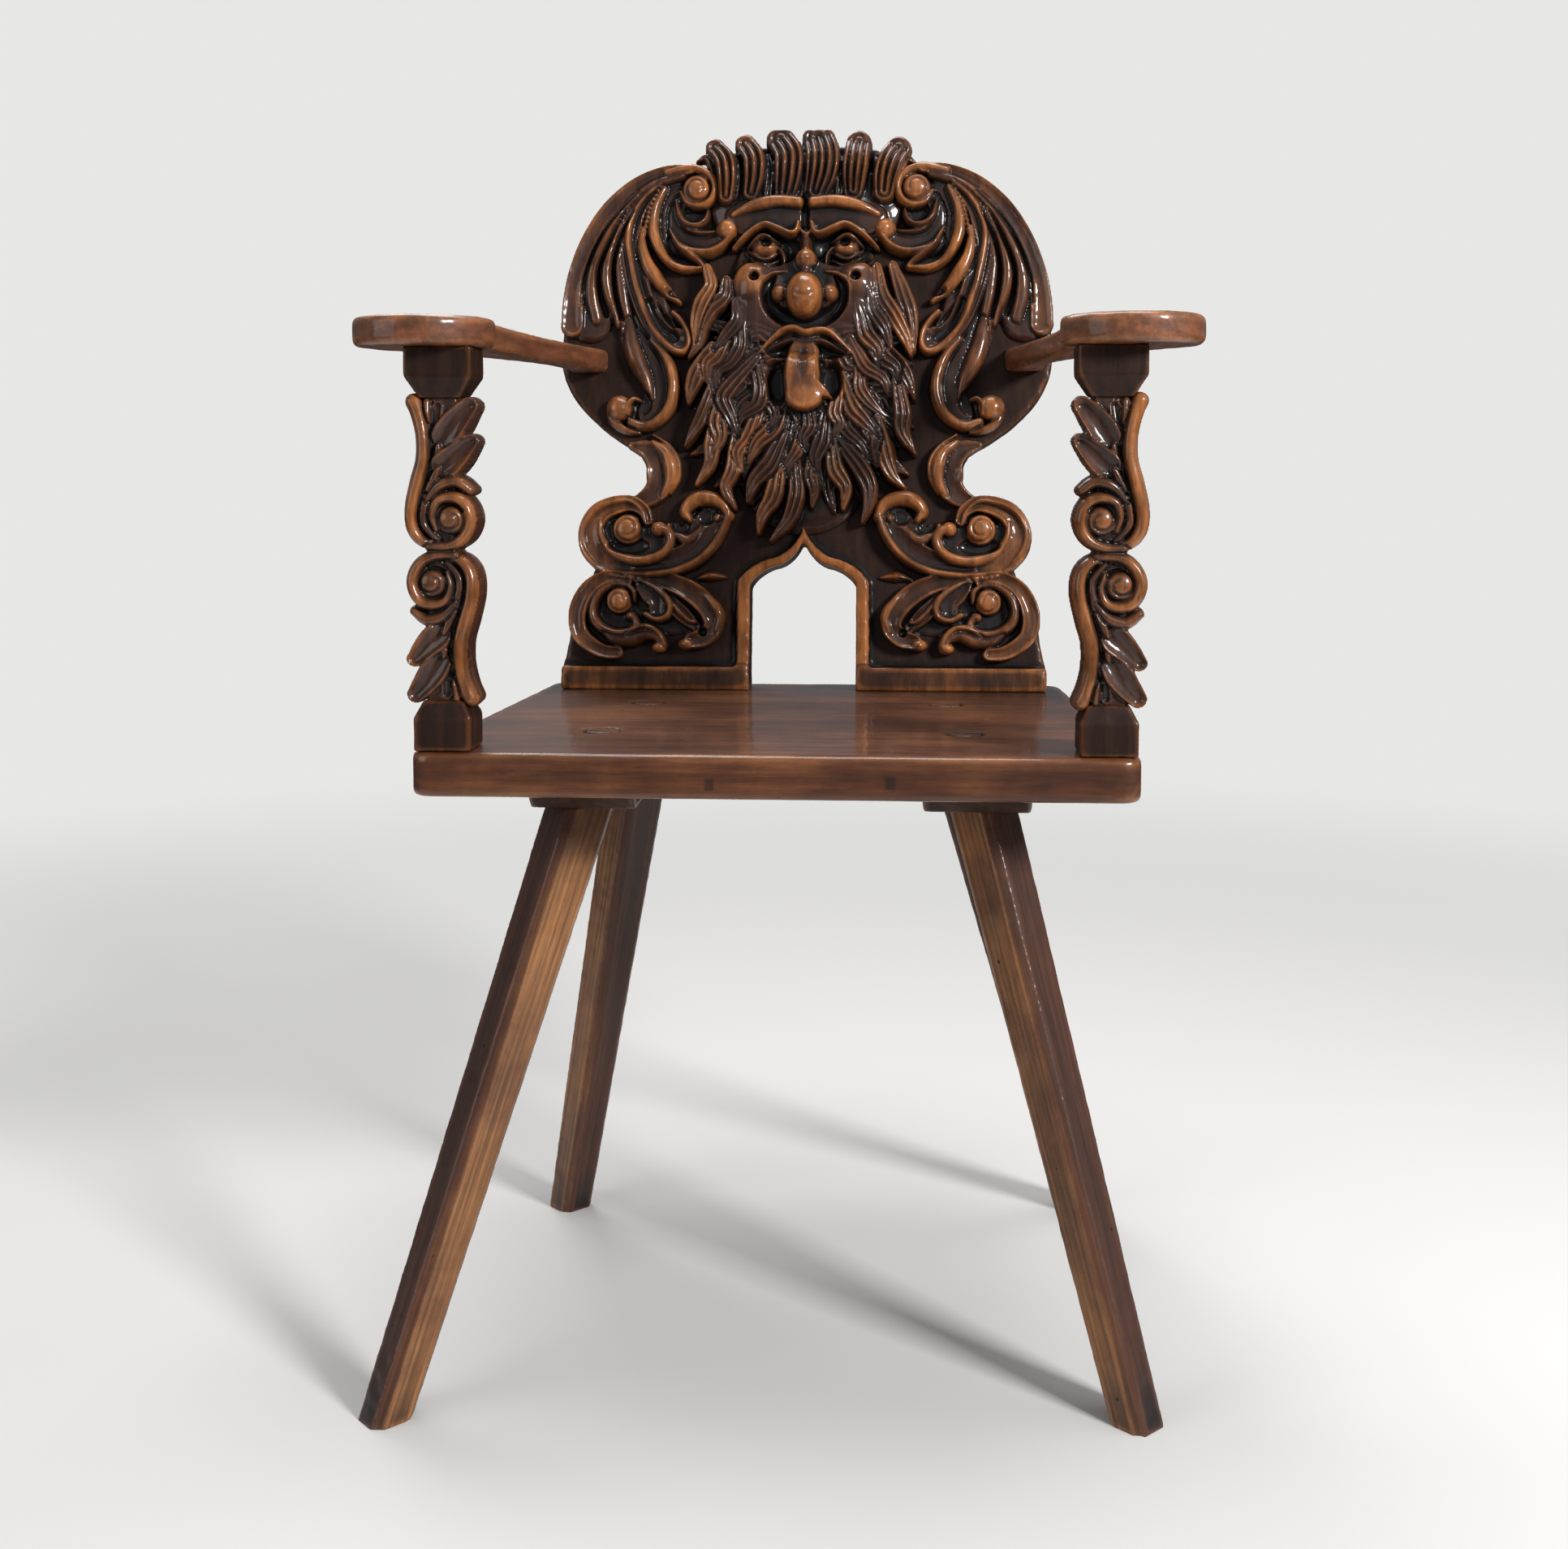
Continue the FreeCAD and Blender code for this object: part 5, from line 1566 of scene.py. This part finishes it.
        r.lay(
            Stroke(((0, 413), (1, 402), (1, 390)), (5, 6, 7), (24, 27, 31), plain, 0.2, foot=9.0),
            Stroke(((1, 390), (1, 378), (0, 366)), (6, 6.5, 10), (32, 32, 38), plain, 0.35, foot=12.0),
            Stroke(((-7, 421), (-3, 414), (1, 411), (5, 414), (8, 421)), (1.6, 2.2, 1.6), (25, 28, 25),
                   plain, 0.8, foot=12.0),
        )
        r.swell_up(
            Dome((1, 388), (10.5, 11), 37.0, 12.0, 0.95, 0.45, 2.0),
            Dome((0, 356), (18.0, 22.0), 46.0, 12.0, 1.0, 0.4, 1.5),
        )
        for s in BOTH_SIDES:
            r.sink(Dome((s * 46, 373), (4.6, 4.6), 17.0))
            r.swell_up(Dome((s * 45, 372), (2.0, 2.0), 22.0, 17.0, 0.4))
        r.cut(Stroke(((-8, 353), (0, 351), (8, 353)), (0.9, 1.4, 0.9), (1.0, 2.0, 1.0)))
        r.sink(Dome((2, 307), (38, 13), 5.0))
        r.lay(
            Stroke(((-42, 303), (-32, 313), (-20, 323), (-9, 325), (1, 321), (12, 323), (22, 322), (33, 313),
                    (46, 300)), (2.0, 4.4, 2.0), (20, 32, 20), plain, 0.85, foot=11.0),
            Stroke(((-40, 303), (-26, 311), (-12, 316), (1, 314), (15, 315), (29, 309), (44, 299)),
                   (2, 5.0, 2), (14, 23, 14), plain, 0.1),
            Stroke(((-40, 299), (-26, 297), (-14, 299)), (2, 4, 2.5), (15, 19, 17), plain, 0.25),
            Stroke(((42, 297), (28, 295), (16, 298)), (2, 4, 2.5), (15, 19, 17), plain, 0.25),
        )
        r.sink(
            Dome((-24, 276), (11, 22), 7.0, fullness=0.7),
            Dome((24, 278), (11, 20), 7.0, fullness=0.7),
        )
        r.lay(
            Stroke(((-1, 304), (-2, 292), (-2, 278), (-1, 264)), (16, 18.0, 17), (21, 33, 35),
                   Section.FLAT, 1.0),
            Stroke(((5, 277), (13, 269), (24, 262)), (8, 7.0, 1.6), (34, 34, 29), Section.FLAT, 1.0),
        )
        r.swell_up(Dome((0, 262), (17.0, 13), 35.5, 27.0, 1.0, 0.2))
        r.cut(Stroke(((0, 306), (-1, 292), (0, 276)), (3, 5.0, 2), (0.8, 1.3, 0.3)))
        r.stain(Dome((-1, 296), (6, 18), 0.0, tone=0.35, fullness=0.6))

    def build(self, groups: Groups) -> list[bpy.types.Object]:
        """Makes every carved piece of the back and the board behind them.

        Args:
            groups: the shared effects.

        Returns:
            The pieces.
        """
        head = self.head()
        drawings = {"leaf": self.leaf(), "waist": self.waist(), "scrolls": self.scrolls()}
        for seed, relief in enumerate((head, *drawings.values())):
            relief.finish(seed, self.tool_depth)
        piece = carve("mask_and_beard", head, self.panel)
        settle(piece, "carved_head", CARVED, groups)
        pieces = [piece]
        for label, relief in drawings.items():
            for side in Side:
                piece = carve(f"{label}_{side.value}_carving", relief, self.side_panel(side))
                settle(piece, f"carved_{label}_{side.value}", CARVED, groups)
                pieces.append(piece)
        board = self.board()
        settle(board, "back_plank", GROUND, groups)
        return pieces + [board]


# Arm posts


@dataclass
class ArmPost:
    """One carved post under an arm: a base block, two facing scrolls, a capital and its tenons."""

    side: Side
    block: Point = (41.0, 40.0)
    block_tall: float = 24.0
    neck: Point = (29.0, 29.0)
    neck_tall: float = 36.0
    capital: Point = (48.0, 42.0)
    capital_low: float = 250.0
    capital_wide: float = 265.0
    capital_top: float = 286.0
    waist: float = 142.5
    slim: float = 0.92
    step: float = 0.7
    least: float = 4.0
    tool_depth: float = 0.3
    tool_seed: int = 50
    eye: Point = (-7.0, -22.5)
    eye_radius: float = 11.5
    eye_height: float = 19.5
    pin_lap: float = 1.0
    ageing: Ageing = Ageing(1.4, 2, 0.2, 0.25, 60)
    node: str = field(init=False)
    centre: Vector = field(init=False)

    def __post_init__(self) -> None:
        """Reads the post's place from its solid."""
        self.node = f"arm_post_{self.side.value}"
        low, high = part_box(self.node)
        self.centre = Vector(((low.x + high.x) / 2, (low.y + high.y) / 2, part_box("seat_plank")[1].z))

    @staticmethod
    def scroll() -> tuple[Stroke, ...]:
        """Draws the lower scroll and its leaves, measured from the waist between the two scrolls.

        Returns:
            The strokes of the left post's lower half.
        """
        flute = Section.FLUTE
        plain = Section.ROUND
        return (
            Stroke(((0, 1), (-3, -25), (3, -52), (-1, -84), (-1, -105)), (7, 17, 15), (12, 12, 12),
                   Section.FLAT, 0.15),
            Stroke(((4, -8), (14, -20), (12, -35), (5, -51), (1, -66), (3, -84), (6, -100)), (4, 8.0, 6),
                   (15, 17.5, 14), plain, 0.35, over=4.0),
            Stroke(((8, -70), (5, -86), (2, -102)), (3, 6.5, 4.5), (14, 17.5, 14), flute, 0.35, over=4.0),
            Stroke(((14, -74), (11, -90), (10, -105)), (3, 6.0, 4.5), (14, 17.5, 15), plain, 0.4, over=4.0),
            Stroke(((7, -64), (-3, -79), (-12, -91), (-22, -102)), (5, 12.0, 8), (15, 18, 14),
                   flute, 0.35, over=4.0),
            Stroke(((11, -44), (1, -56), (-11, -66), (-23, -77)), (5, 12.0, 7), (16, 18.5, 14),
                   flute, 0.4, over=4.0),
            Stroke(((-22, -43), (-12, -49), (1, -46), (11, -36)), (5.5, 6.5, 4), (15, 18, 16),
                   plain, 0.4, over=4.0),
            Stroke(((3, -3), (15, -7), (22, -16), (22.5, -30), (18, -47), (13, -64), (13, -82), (17, -97),
                    (21, -105)), (5, 8.5, 8), (16, 20, 16), plain, 0.7, over=4.0),
            Stroke(((10, -3), (-6, -3.5), (-18, -10), (-23, -22), (-18, -34), (-8, -38), (3, -35), (7, -25),
                    (4, -15)), (5, 6.5, 3), (16, 19.5, 16), plain, 0.7, over=4.0),
        )

    def shaft(self) -> Relief:
        """Draws both scrolls, the upper one turned half round.

        Returns:
            The front half's relief.
        """
        r = Relief((-32.0, -116.0), (32.0, 116.0), self.step)
        quirk = ((9, -9), (16, -19), (16, -32), (11, -50), (7, -66), (8, -84), (12, -101))
        for stroke in self.scroll():
            for sign in (1.0, -1.0):
                path = tuple((sign * u * self.slim, sign * v) for u, v in stroke.path)
                r.lay(replace(stroke, path=path, width=tuple(half * self.slim for half in stroke.width)))
        for sign in (1.0, -1.0):
            r.cut(Stroke(tuple((sign * u, sign * v) for u, v in quirk), (1.0, 1.7, 1.0), (2.0, 3.5, 2.0)))
            r.snail((sign * self.eye[0], sign * self.eye[1]), self.eye_radius, self.eye_height, 1.1, 0.6)
        return r

    def blocks(self) -> bmesh.types.BMesh:
        """Squares up the base block and the capital.

        Returns:
            Two closed shapes in place.
        """
        shape = bmesh.new()
        base = ((self.block, 0.0), (self.block, self.block_tall), (self.neck, self.neck_tall))
        capital = ((self.neck, self.capital_low), (self.capital, self.capital_wide),
                   (self.capital, self.capital_top))
        for (size, low), *levels in (base, capital):
            made = bmesh.ops.create_grid(shape, x_segments=1, y_segments=1, size=0.5)["verts"]
            for vertex in made:
                vertex.co = (vertex.co.x * size[0] * MM, vertex.co.y * size[1] * MM, low * MM)
            face = made[0].link_faces[0]
            for wanted, level in levels:
                grown = bmesh.ops.extrude_face_region(shape, geom=[face])["geom"]
                for vertex in only(bmesh.types.BMVert, grown):
                    vertex.co.x *= wanted[0] / size[0]
                    vertex.co.y *= wanted[1] / size[1]
                    vertex.co.z = level * MM
                face = only(bmesh.types.BMFace, grown)[0]
                size = wanted
        bmesh.ops.recalc_face_normals(shape, faces=shape.faces)
        bmesh.ops.translate(shape, verts=shape.verts, vec=self.centre)
        return shape

    def pins(self) -> bmesh.types.BMesh:
        """Keeps the solid's own tenon that passes up through the arm.

        Returns:
            The tenon, capped where it leaves the capital.
        """
        shape = solid_copy(self.node)
        level = self.centre + Vector((0.0, 0.0, (self.capital_top - self.pin_lap) * MM))
        whole = shape.verts[:] + shape.edges[:] + shape.faces[:]
        cut = bmesh.ops.bisect_plane(shape, geom=whole, plane_co=level, plane_no=(0.0, 0.0, 1.0),
                                     clear_inner=True)
        bmesh.ops.edgeloop_fill(shape, edges=only(bmesh.types.BMEdge, cut["geom_cut"]))
        return shape

    def build(self, groups: Groups) -> list[bpy.types.Object]:
        """Makes the post's pieces.

        Args:
            groups: the shared effects.

        Returns:
            The shaft, the blocks and the tenon.
        """
        relief = self.shaft()
        relief.finish(self.tool_seed, self.tool_depth)
        middle = self.centre + Vector((0.0, 0.0, self.waist * MM))
        panel = Panel(middle, Vector((self.side.sign, 0.0, 0.0)), Vector((0.0, 0.0, 1.0)),
                      Vector((0.0, -1.0, 0.0)))
        label = self.side.value
        shaft = carve(f"post_scrolls_{label}", relief, panel, self.least, two_sided=True)
        blocks = self.ageing.age(f"post_blocks_{label}", self.blocks())
        pins = add_mesh(f"post_tenon_{label}", self.pins())
        set_share(pins, "wear_and_shade", np.full(len(pins.data.vertices), FLAT_WEAR))
        for piece, finish in ((shaft, CARVED), (blocks, GROUND), (pins, GROUND)):
            settle(piece, self.node, finish, groups)
        return [shaft, blocks, pins]


# Boards and sticks


@dataclass
class Timber:
    """A plain worked board or stick: the solid's own shape, with eased and worn edges."""

    name: str
    node: str
    finish: WoodFinish
    slot: str
    ageing: Ageing = Ageing()

    def build(self, groups: Groups) -> bpy.types.Object:
        """Ages a copy of the solid.

        Args:
            groups: the shared effects.

        Returns:
            The new piece.
        """
        piece = self.ageing.age(self.name, solid_copy(self.node))
        self.use(piece)
        settle(piece, self.node, self.wood(), groups)
        return piece

    def wood(self) -> WoodFinish:
        """Finish of this piece."""
        return self.finish

    def use(self, piece: bpy.types.Object) -> None:
        """Adds the marks of use, none on a plain piece."""


@dataclass
class SeatBoard(Timber):
    """The seat, rubbed where it is sat on and darker towards its back and sides.

    Two old stains and dull patches mark its front edge, and the leg tenons lie even in its top.
    """

    sat: float = 0.14
    sat_depth: float = 150.0
    sat_size: Point = (150.0, 130.0)
    patch: float = 0.07
    patch_waves: Point = (37.0, 61.0)
    patch_phase: float = 1.3
    patch_deep: float = 12.0
    back_shade: float = 0.20
    back_from: float = 270.0
    back_over: float = 100.0
    side_shade: float = 0.12
    side_from: float = 190.0
    side_over: float = 50.0
    side_depth: float = 20.0
    stains: tuple[Point, ...] = ((-43.5, 21.0), (83.0, 18.0))
    stain_size: Point = (3.5, 5.0)
    stain_deep: float = 3.0
    stain_wear: float = 0.32
    tenon_ring: float = 19.0
    tenon_deep: float = 8.0

    def tenons(self, top: float) -> list[np.ndarray]:
        """Finds where the leg tenons come through the seat.

        Args:
            top: level of the seat's top in millimetres.

        Returns:
            Their centres in millimetres.
        """
        centres = []
        for end in FACINGS:
            for side in Side:
                spots = rows_of(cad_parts[f"leg_{end}_{side.value}"]) / MM
                centres.append(spots[spots[:, 2] > top - TENON_END].mean(axis=0))
        return centres

    def use(self, piece: bpy.types.Object) -> None:
        """Rubs the middle, darkens the back and sides and marks the front edge.

        Args:
            piece: the seat.
        """
        low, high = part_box(self.node)
        top = high.z / MM
        x, y, z = rows_of(piece).T / MM
        depth = y - low.y / MM
        wear_and_shade = get_share(piece, "wear_and_shade")
        across, along = self.sat_size
        wear_and_shade += self.sat * np.exp(-((x / across) ** 2) - ((depth - self.sat_depth) / along) ** 2)
        short, long = self.patch_waves
        patches = 1.0 + np.sin(x / short) * np.sin(x / long + self.patch_phase)
        wear_and_shade -= self.patch * patches * (depth < self.patch_deep)
        wear_and_shade -= self.back_shade * np.clip((depth - self.back_from) / self.back_over, 0.0, 1.0)
        sides = np.clip((np.abs(x) - self.side_from) / self.side_over, 0.0, 1.0)
        wear_and_shade -= self.side_shade * sides * (depth > self.side_depth)
        for middle, below in self.stains:
            near = (np.abs(x - middle) < self.stain_size[0]) & (depth < self.stain_deep)
            near &= np.abs(z - top + below) < self.stain_size[1]
            wear_and_shade[near] = np.minimum(wear_and_shade[near], self.stain_wear)
        for centre in self.tenons(top):
            ring = np.hypot(x - centre[0], y - centre[1]) < self.tenon_ring
            wear_and_shade[ring & (z > top - self.tenon_deep)] = FLAT_WEAR
        set_share(piece, "wear_and_shade", np.clip(wear_and_shade, 0.0, 1.0))


@dataclass
class Leg(Timber):
    """A splayed leg: grain along its own slope, a dirty foot and a tenon flush with the seat."""

    facing: float = 1.0
    # Way that the facets painted as lit face; facet_shade paints shade on the others
    lit_way: Point = (0.78, -0.62)
    foot_tall: float = 45.0
    foot_shade: float = 0.22
    facet_shade: float = 0.14
    facet_limit: float = 0.6
    lit_facet_tone: Point = (0.15, 1.0)
    tenon_wear: float = 0.48
    tenon_tone: float = 0.5

    def wood(self) -> WoodFinish:
        """Lays the grain along the leg.

        Returns:
            The finish, turned to the leg's own slope.
        """
        spots = rows_of(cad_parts[self.node])
        level = spots[:, 2]
        head = spots[level > level.max() - self.foot_tall * MM / 2].mean(axis=0)
        foot = spots[level < level.min() + self.foot_tall * MM / 2].mean(axis=0)
        turn = Vector((0.0, 0.0, 1.0)).rotation_difference(Vector(head - foot)).to_euler()
        return replace(self.finish, name=f"{self.finish.name}_{self.node}", turn=tuple(turn))

    def use(self, piece: bpy.types.Object) -> None:
        """Paints light on one pair of facets, shade on the others, and darkens the foot and the tenon's end.

        Args:
            piece: the leg.
        """
        level = rows_of(piece)[:, 2] / MM
        # Painted light: facets facing this way get a lighter amber tone, and the others get painted shade
        way = np.array((self.lit_way[0] * self.facing, self.lit_way[1], 0.0))
        towards = rows_of(piece, "normal") @ way
        wear_and_shade = get_share(piece, "wear_and_shade")
        wear_and_shade -= self.facet_shade * np.clip(self.facet_limit - towards, 0.0, 1.0)
        wear_and_shade -= self.foot_shade * np.clip(1.0 - level / self.foot_tall, 0.0, 1.0)
        dull, amber = self.lit_facet_tone
        tone = dull + (amber - dull) * np.clip(towards, 0.0, 1.0) ** 2
        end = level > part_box("seat_plank")[1].z / MM - TENON_END
        wear_and_shade[end] = self.tenon_wear
        tone[end] = self.tenon_tone
        set_share(piece, "wear_and_shade", np.clip(wear_and_shade, 0.0, 1.0))
        set_share(piece, "tone", tone)


def timbers() -> list[Timber]:
    """Lists the plain boards and sticks of the chair.

    Returns:
        One entry for each worked piece, each with a ripple of its own.
    """
    made: list[Timber] = [
        SeatBoard("seat_board", "seat_plank", SEAT, "seat_walnut", Ageing(2.4, 2, 0.14, 0.6)),
    ]
    for index, side in enumerate(Side):
        label = side.value
        made.append(Timber(f"arm_rest_{label}", f"arm_{label}", ARM, "arm_walnut",
                           Ageing(1.8, seed=10 + index)))
        made.append(Timber(f"under_batten_{label}", f"batten_{label}", BATTEN, "batten_wood",
                           Ageing(2.2, seed=20 + index)))
        for row, (end, facing) in enumerate(FACINGS.items()):
            made.append(Leg(f"splayed_leg_{end}_{label}", f"leg_{end}_{label}", LEG, "leg_walnut",
                            Ageing(1.5, 1, 0.25, 0.55, 30 + 2 * index + row), facing=facing * side.sign))
    return made


# Stage


@dataclass(frozen=True)
class SoftBox:
    """One soft lamp: where it hangs in metres, its width and height and its strength in watts."""

    name: str
    spot: Triple
    size: Point
    power: float

    def hang(self, aim: Triple) -> None:
        """Hangs the lamp.

        Args:
            aim: the point that it faces.
        """
        data = bpy.data.lights.new(self.name, "AREA")
        data.shape = "RECTANGLE"
        data.size, data.size_y = self.size
        data.energy = self.power
        lamp = bpy.data.objects.new(self.name, data)
        lamp.location = self.spot
        lamp.rotation_euler = (Vector(aim) - Vector(self.spot)).to_track_quat("-Z", "Y").to_euler()
        bpy.context.scene.collection.objects.link(lamp)


@dataclass
class Studio:
    """Floor, lamps and the camera that stands where the photograph was taken."""

    eye: Triple = (0.0951, -1.49317, 0.67365)
    pitch: float = 85.8
    yaw: float = 3.3
    lens: float = 42.63
    sensor: float = 36.0
    shift: Point = (-0.0114, -0.1154)
    far: float = 14.0
    fade: Point = (0.7, 2.6)
    matt: float = 0.9
    pale: Colour = (0.74, 0.73, 0.71, 1.0)
    dark: Colour = (0.0, 0.0, 0.0, 1.0)
    backdrop: Colour = (0.80, 0.80, 0.79, 1.0)
    sky: float = 0.2
    sky_tint: Colour = (0.92, 0.95, 1.0, 1.0)
    aim: Triple = (0.0, 0.0, 0.55)
    lamps: tuple[SoftBox, ...] = (
        SoftBox("key_softbox", (1.9, -1.7, 1.7), (0.55, 0.55), 76.0),
        SoftBox("fill_softbox", (-2.2, -1.6, 1.2), (1.6, 1.6), 15.0),
        SoftBox("top_softbox", (0.1, 0.3, 2.6), (1.4, 1.0), 30.0),
        SoftBox("rear_softbox", (-0.9, 1.8, 2.7), (1.2, 1.2), 24.0),
    )

    def camera(self) -> None:
        """Sets the camera."""
        data = bpy.data.cameras.new("photo_camera")
        data.sensor_fit = "HORIZONTAL"
        data.sensor_width = self.sensor
        data.lens = self.lens
        data.shift_x, data.shift_y = self.shift
        camera = bpy.data.objects.new("photo_camera", data)
        camera.location = self.eye
        camera.rotation_euler = (math.radians(self.pitch), 0.0, math.radians(self.yaw))
        bpy.context.scene.collection.objects.link(camera)
        bpy.context.scene.camera = camera

    def floor(self) -> None:
        """Lays a pale plain floor that runs into the backdrop's colour far from the chair."""
        shape = bmesh.new()
        bmesh.ops.create_grid(shape, x_segments=2, y_segments=2, size=self.far)
        piece = add_mesh("studio_floor", shape)
        material = bpy.data.materials.new("pale_floor")
        material.use_nodes = True
        w = Wiring(material.node_tree)
        reach = w.put("VectorMath", operation="LENGTH")
        w.feed(reach.inputs[0], w.put("TexCoord").outputs["Object"])
        away = w.spread(reach.outputs["Value"], *self.fade)
        seen = w.math("MULTIPLY", away, w.put("LightPath").outputs["Is Camera Ray"])
        w.fill(material.node_tree.nodes["Principled BSDF"], {
            "Base Color": w.mix(away, self.pale, self.dark),
            "Emission Color": w.mix(seen, self.dark, self.backdrop),
            "Emission Strength": 1.0,
            "Roughness": self.matt,
            "Specular IOR Level": 0.0,
        })
        piece.data.materials.append(material)

    def light(self) -> None:
        """Hangs the lamps and sets a quiet sky."""
        for lamp in self.lamps:
            lamp.hang(self.aim)
        world = bpy.data.worlds.new("studio_sky")
        world.use_nodes = True
        w = Wiring(world.node_tree)
        view = w.put("LightPath").outputs["Is Camera Ray"]
        w.fill(world.node_tree.nodes["Background"], {
            "Color": w.mix(view, self.sky_tint, self.backdrop),
            "Strength": w.spread(view, 0.0, 1.0, self.sky, 1.0),
        })
        bpy.context.scene.world = world

    def build(self) -> None:
        """Sets the whole stage."""
        self.camera()
        self.floor()
        self.light()
        bpy.context.scene.view_settings.view_transform = "Standard"


def report(piece: bpy.types.Object) -> None:
    """Logs a finished piece."""
    LOG.info("%s: %d faces", piece.name, len(piece.data.polygons))


def main() -> None:
    """Builds the chair piece by piece and reports each one."""
    logging.basicConfig(level=logging.INFO, format="%(message)s")
    groups = Groups()
    Studio().build()
    for piece in CarvedBack().build(groups):
        report(piece)
    for side in Side:
        for piece in ArmPost(side).build(groups):
            report(piece)
    for timber in timbers():
        report(timber.build(groups))
    for name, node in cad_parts.items():
        if "wedge" in name:
            dress(node, WEDGE, groups)
            LOG.info("%s: the solid's own shape", name)


if __name__ == "__main__":
    main()
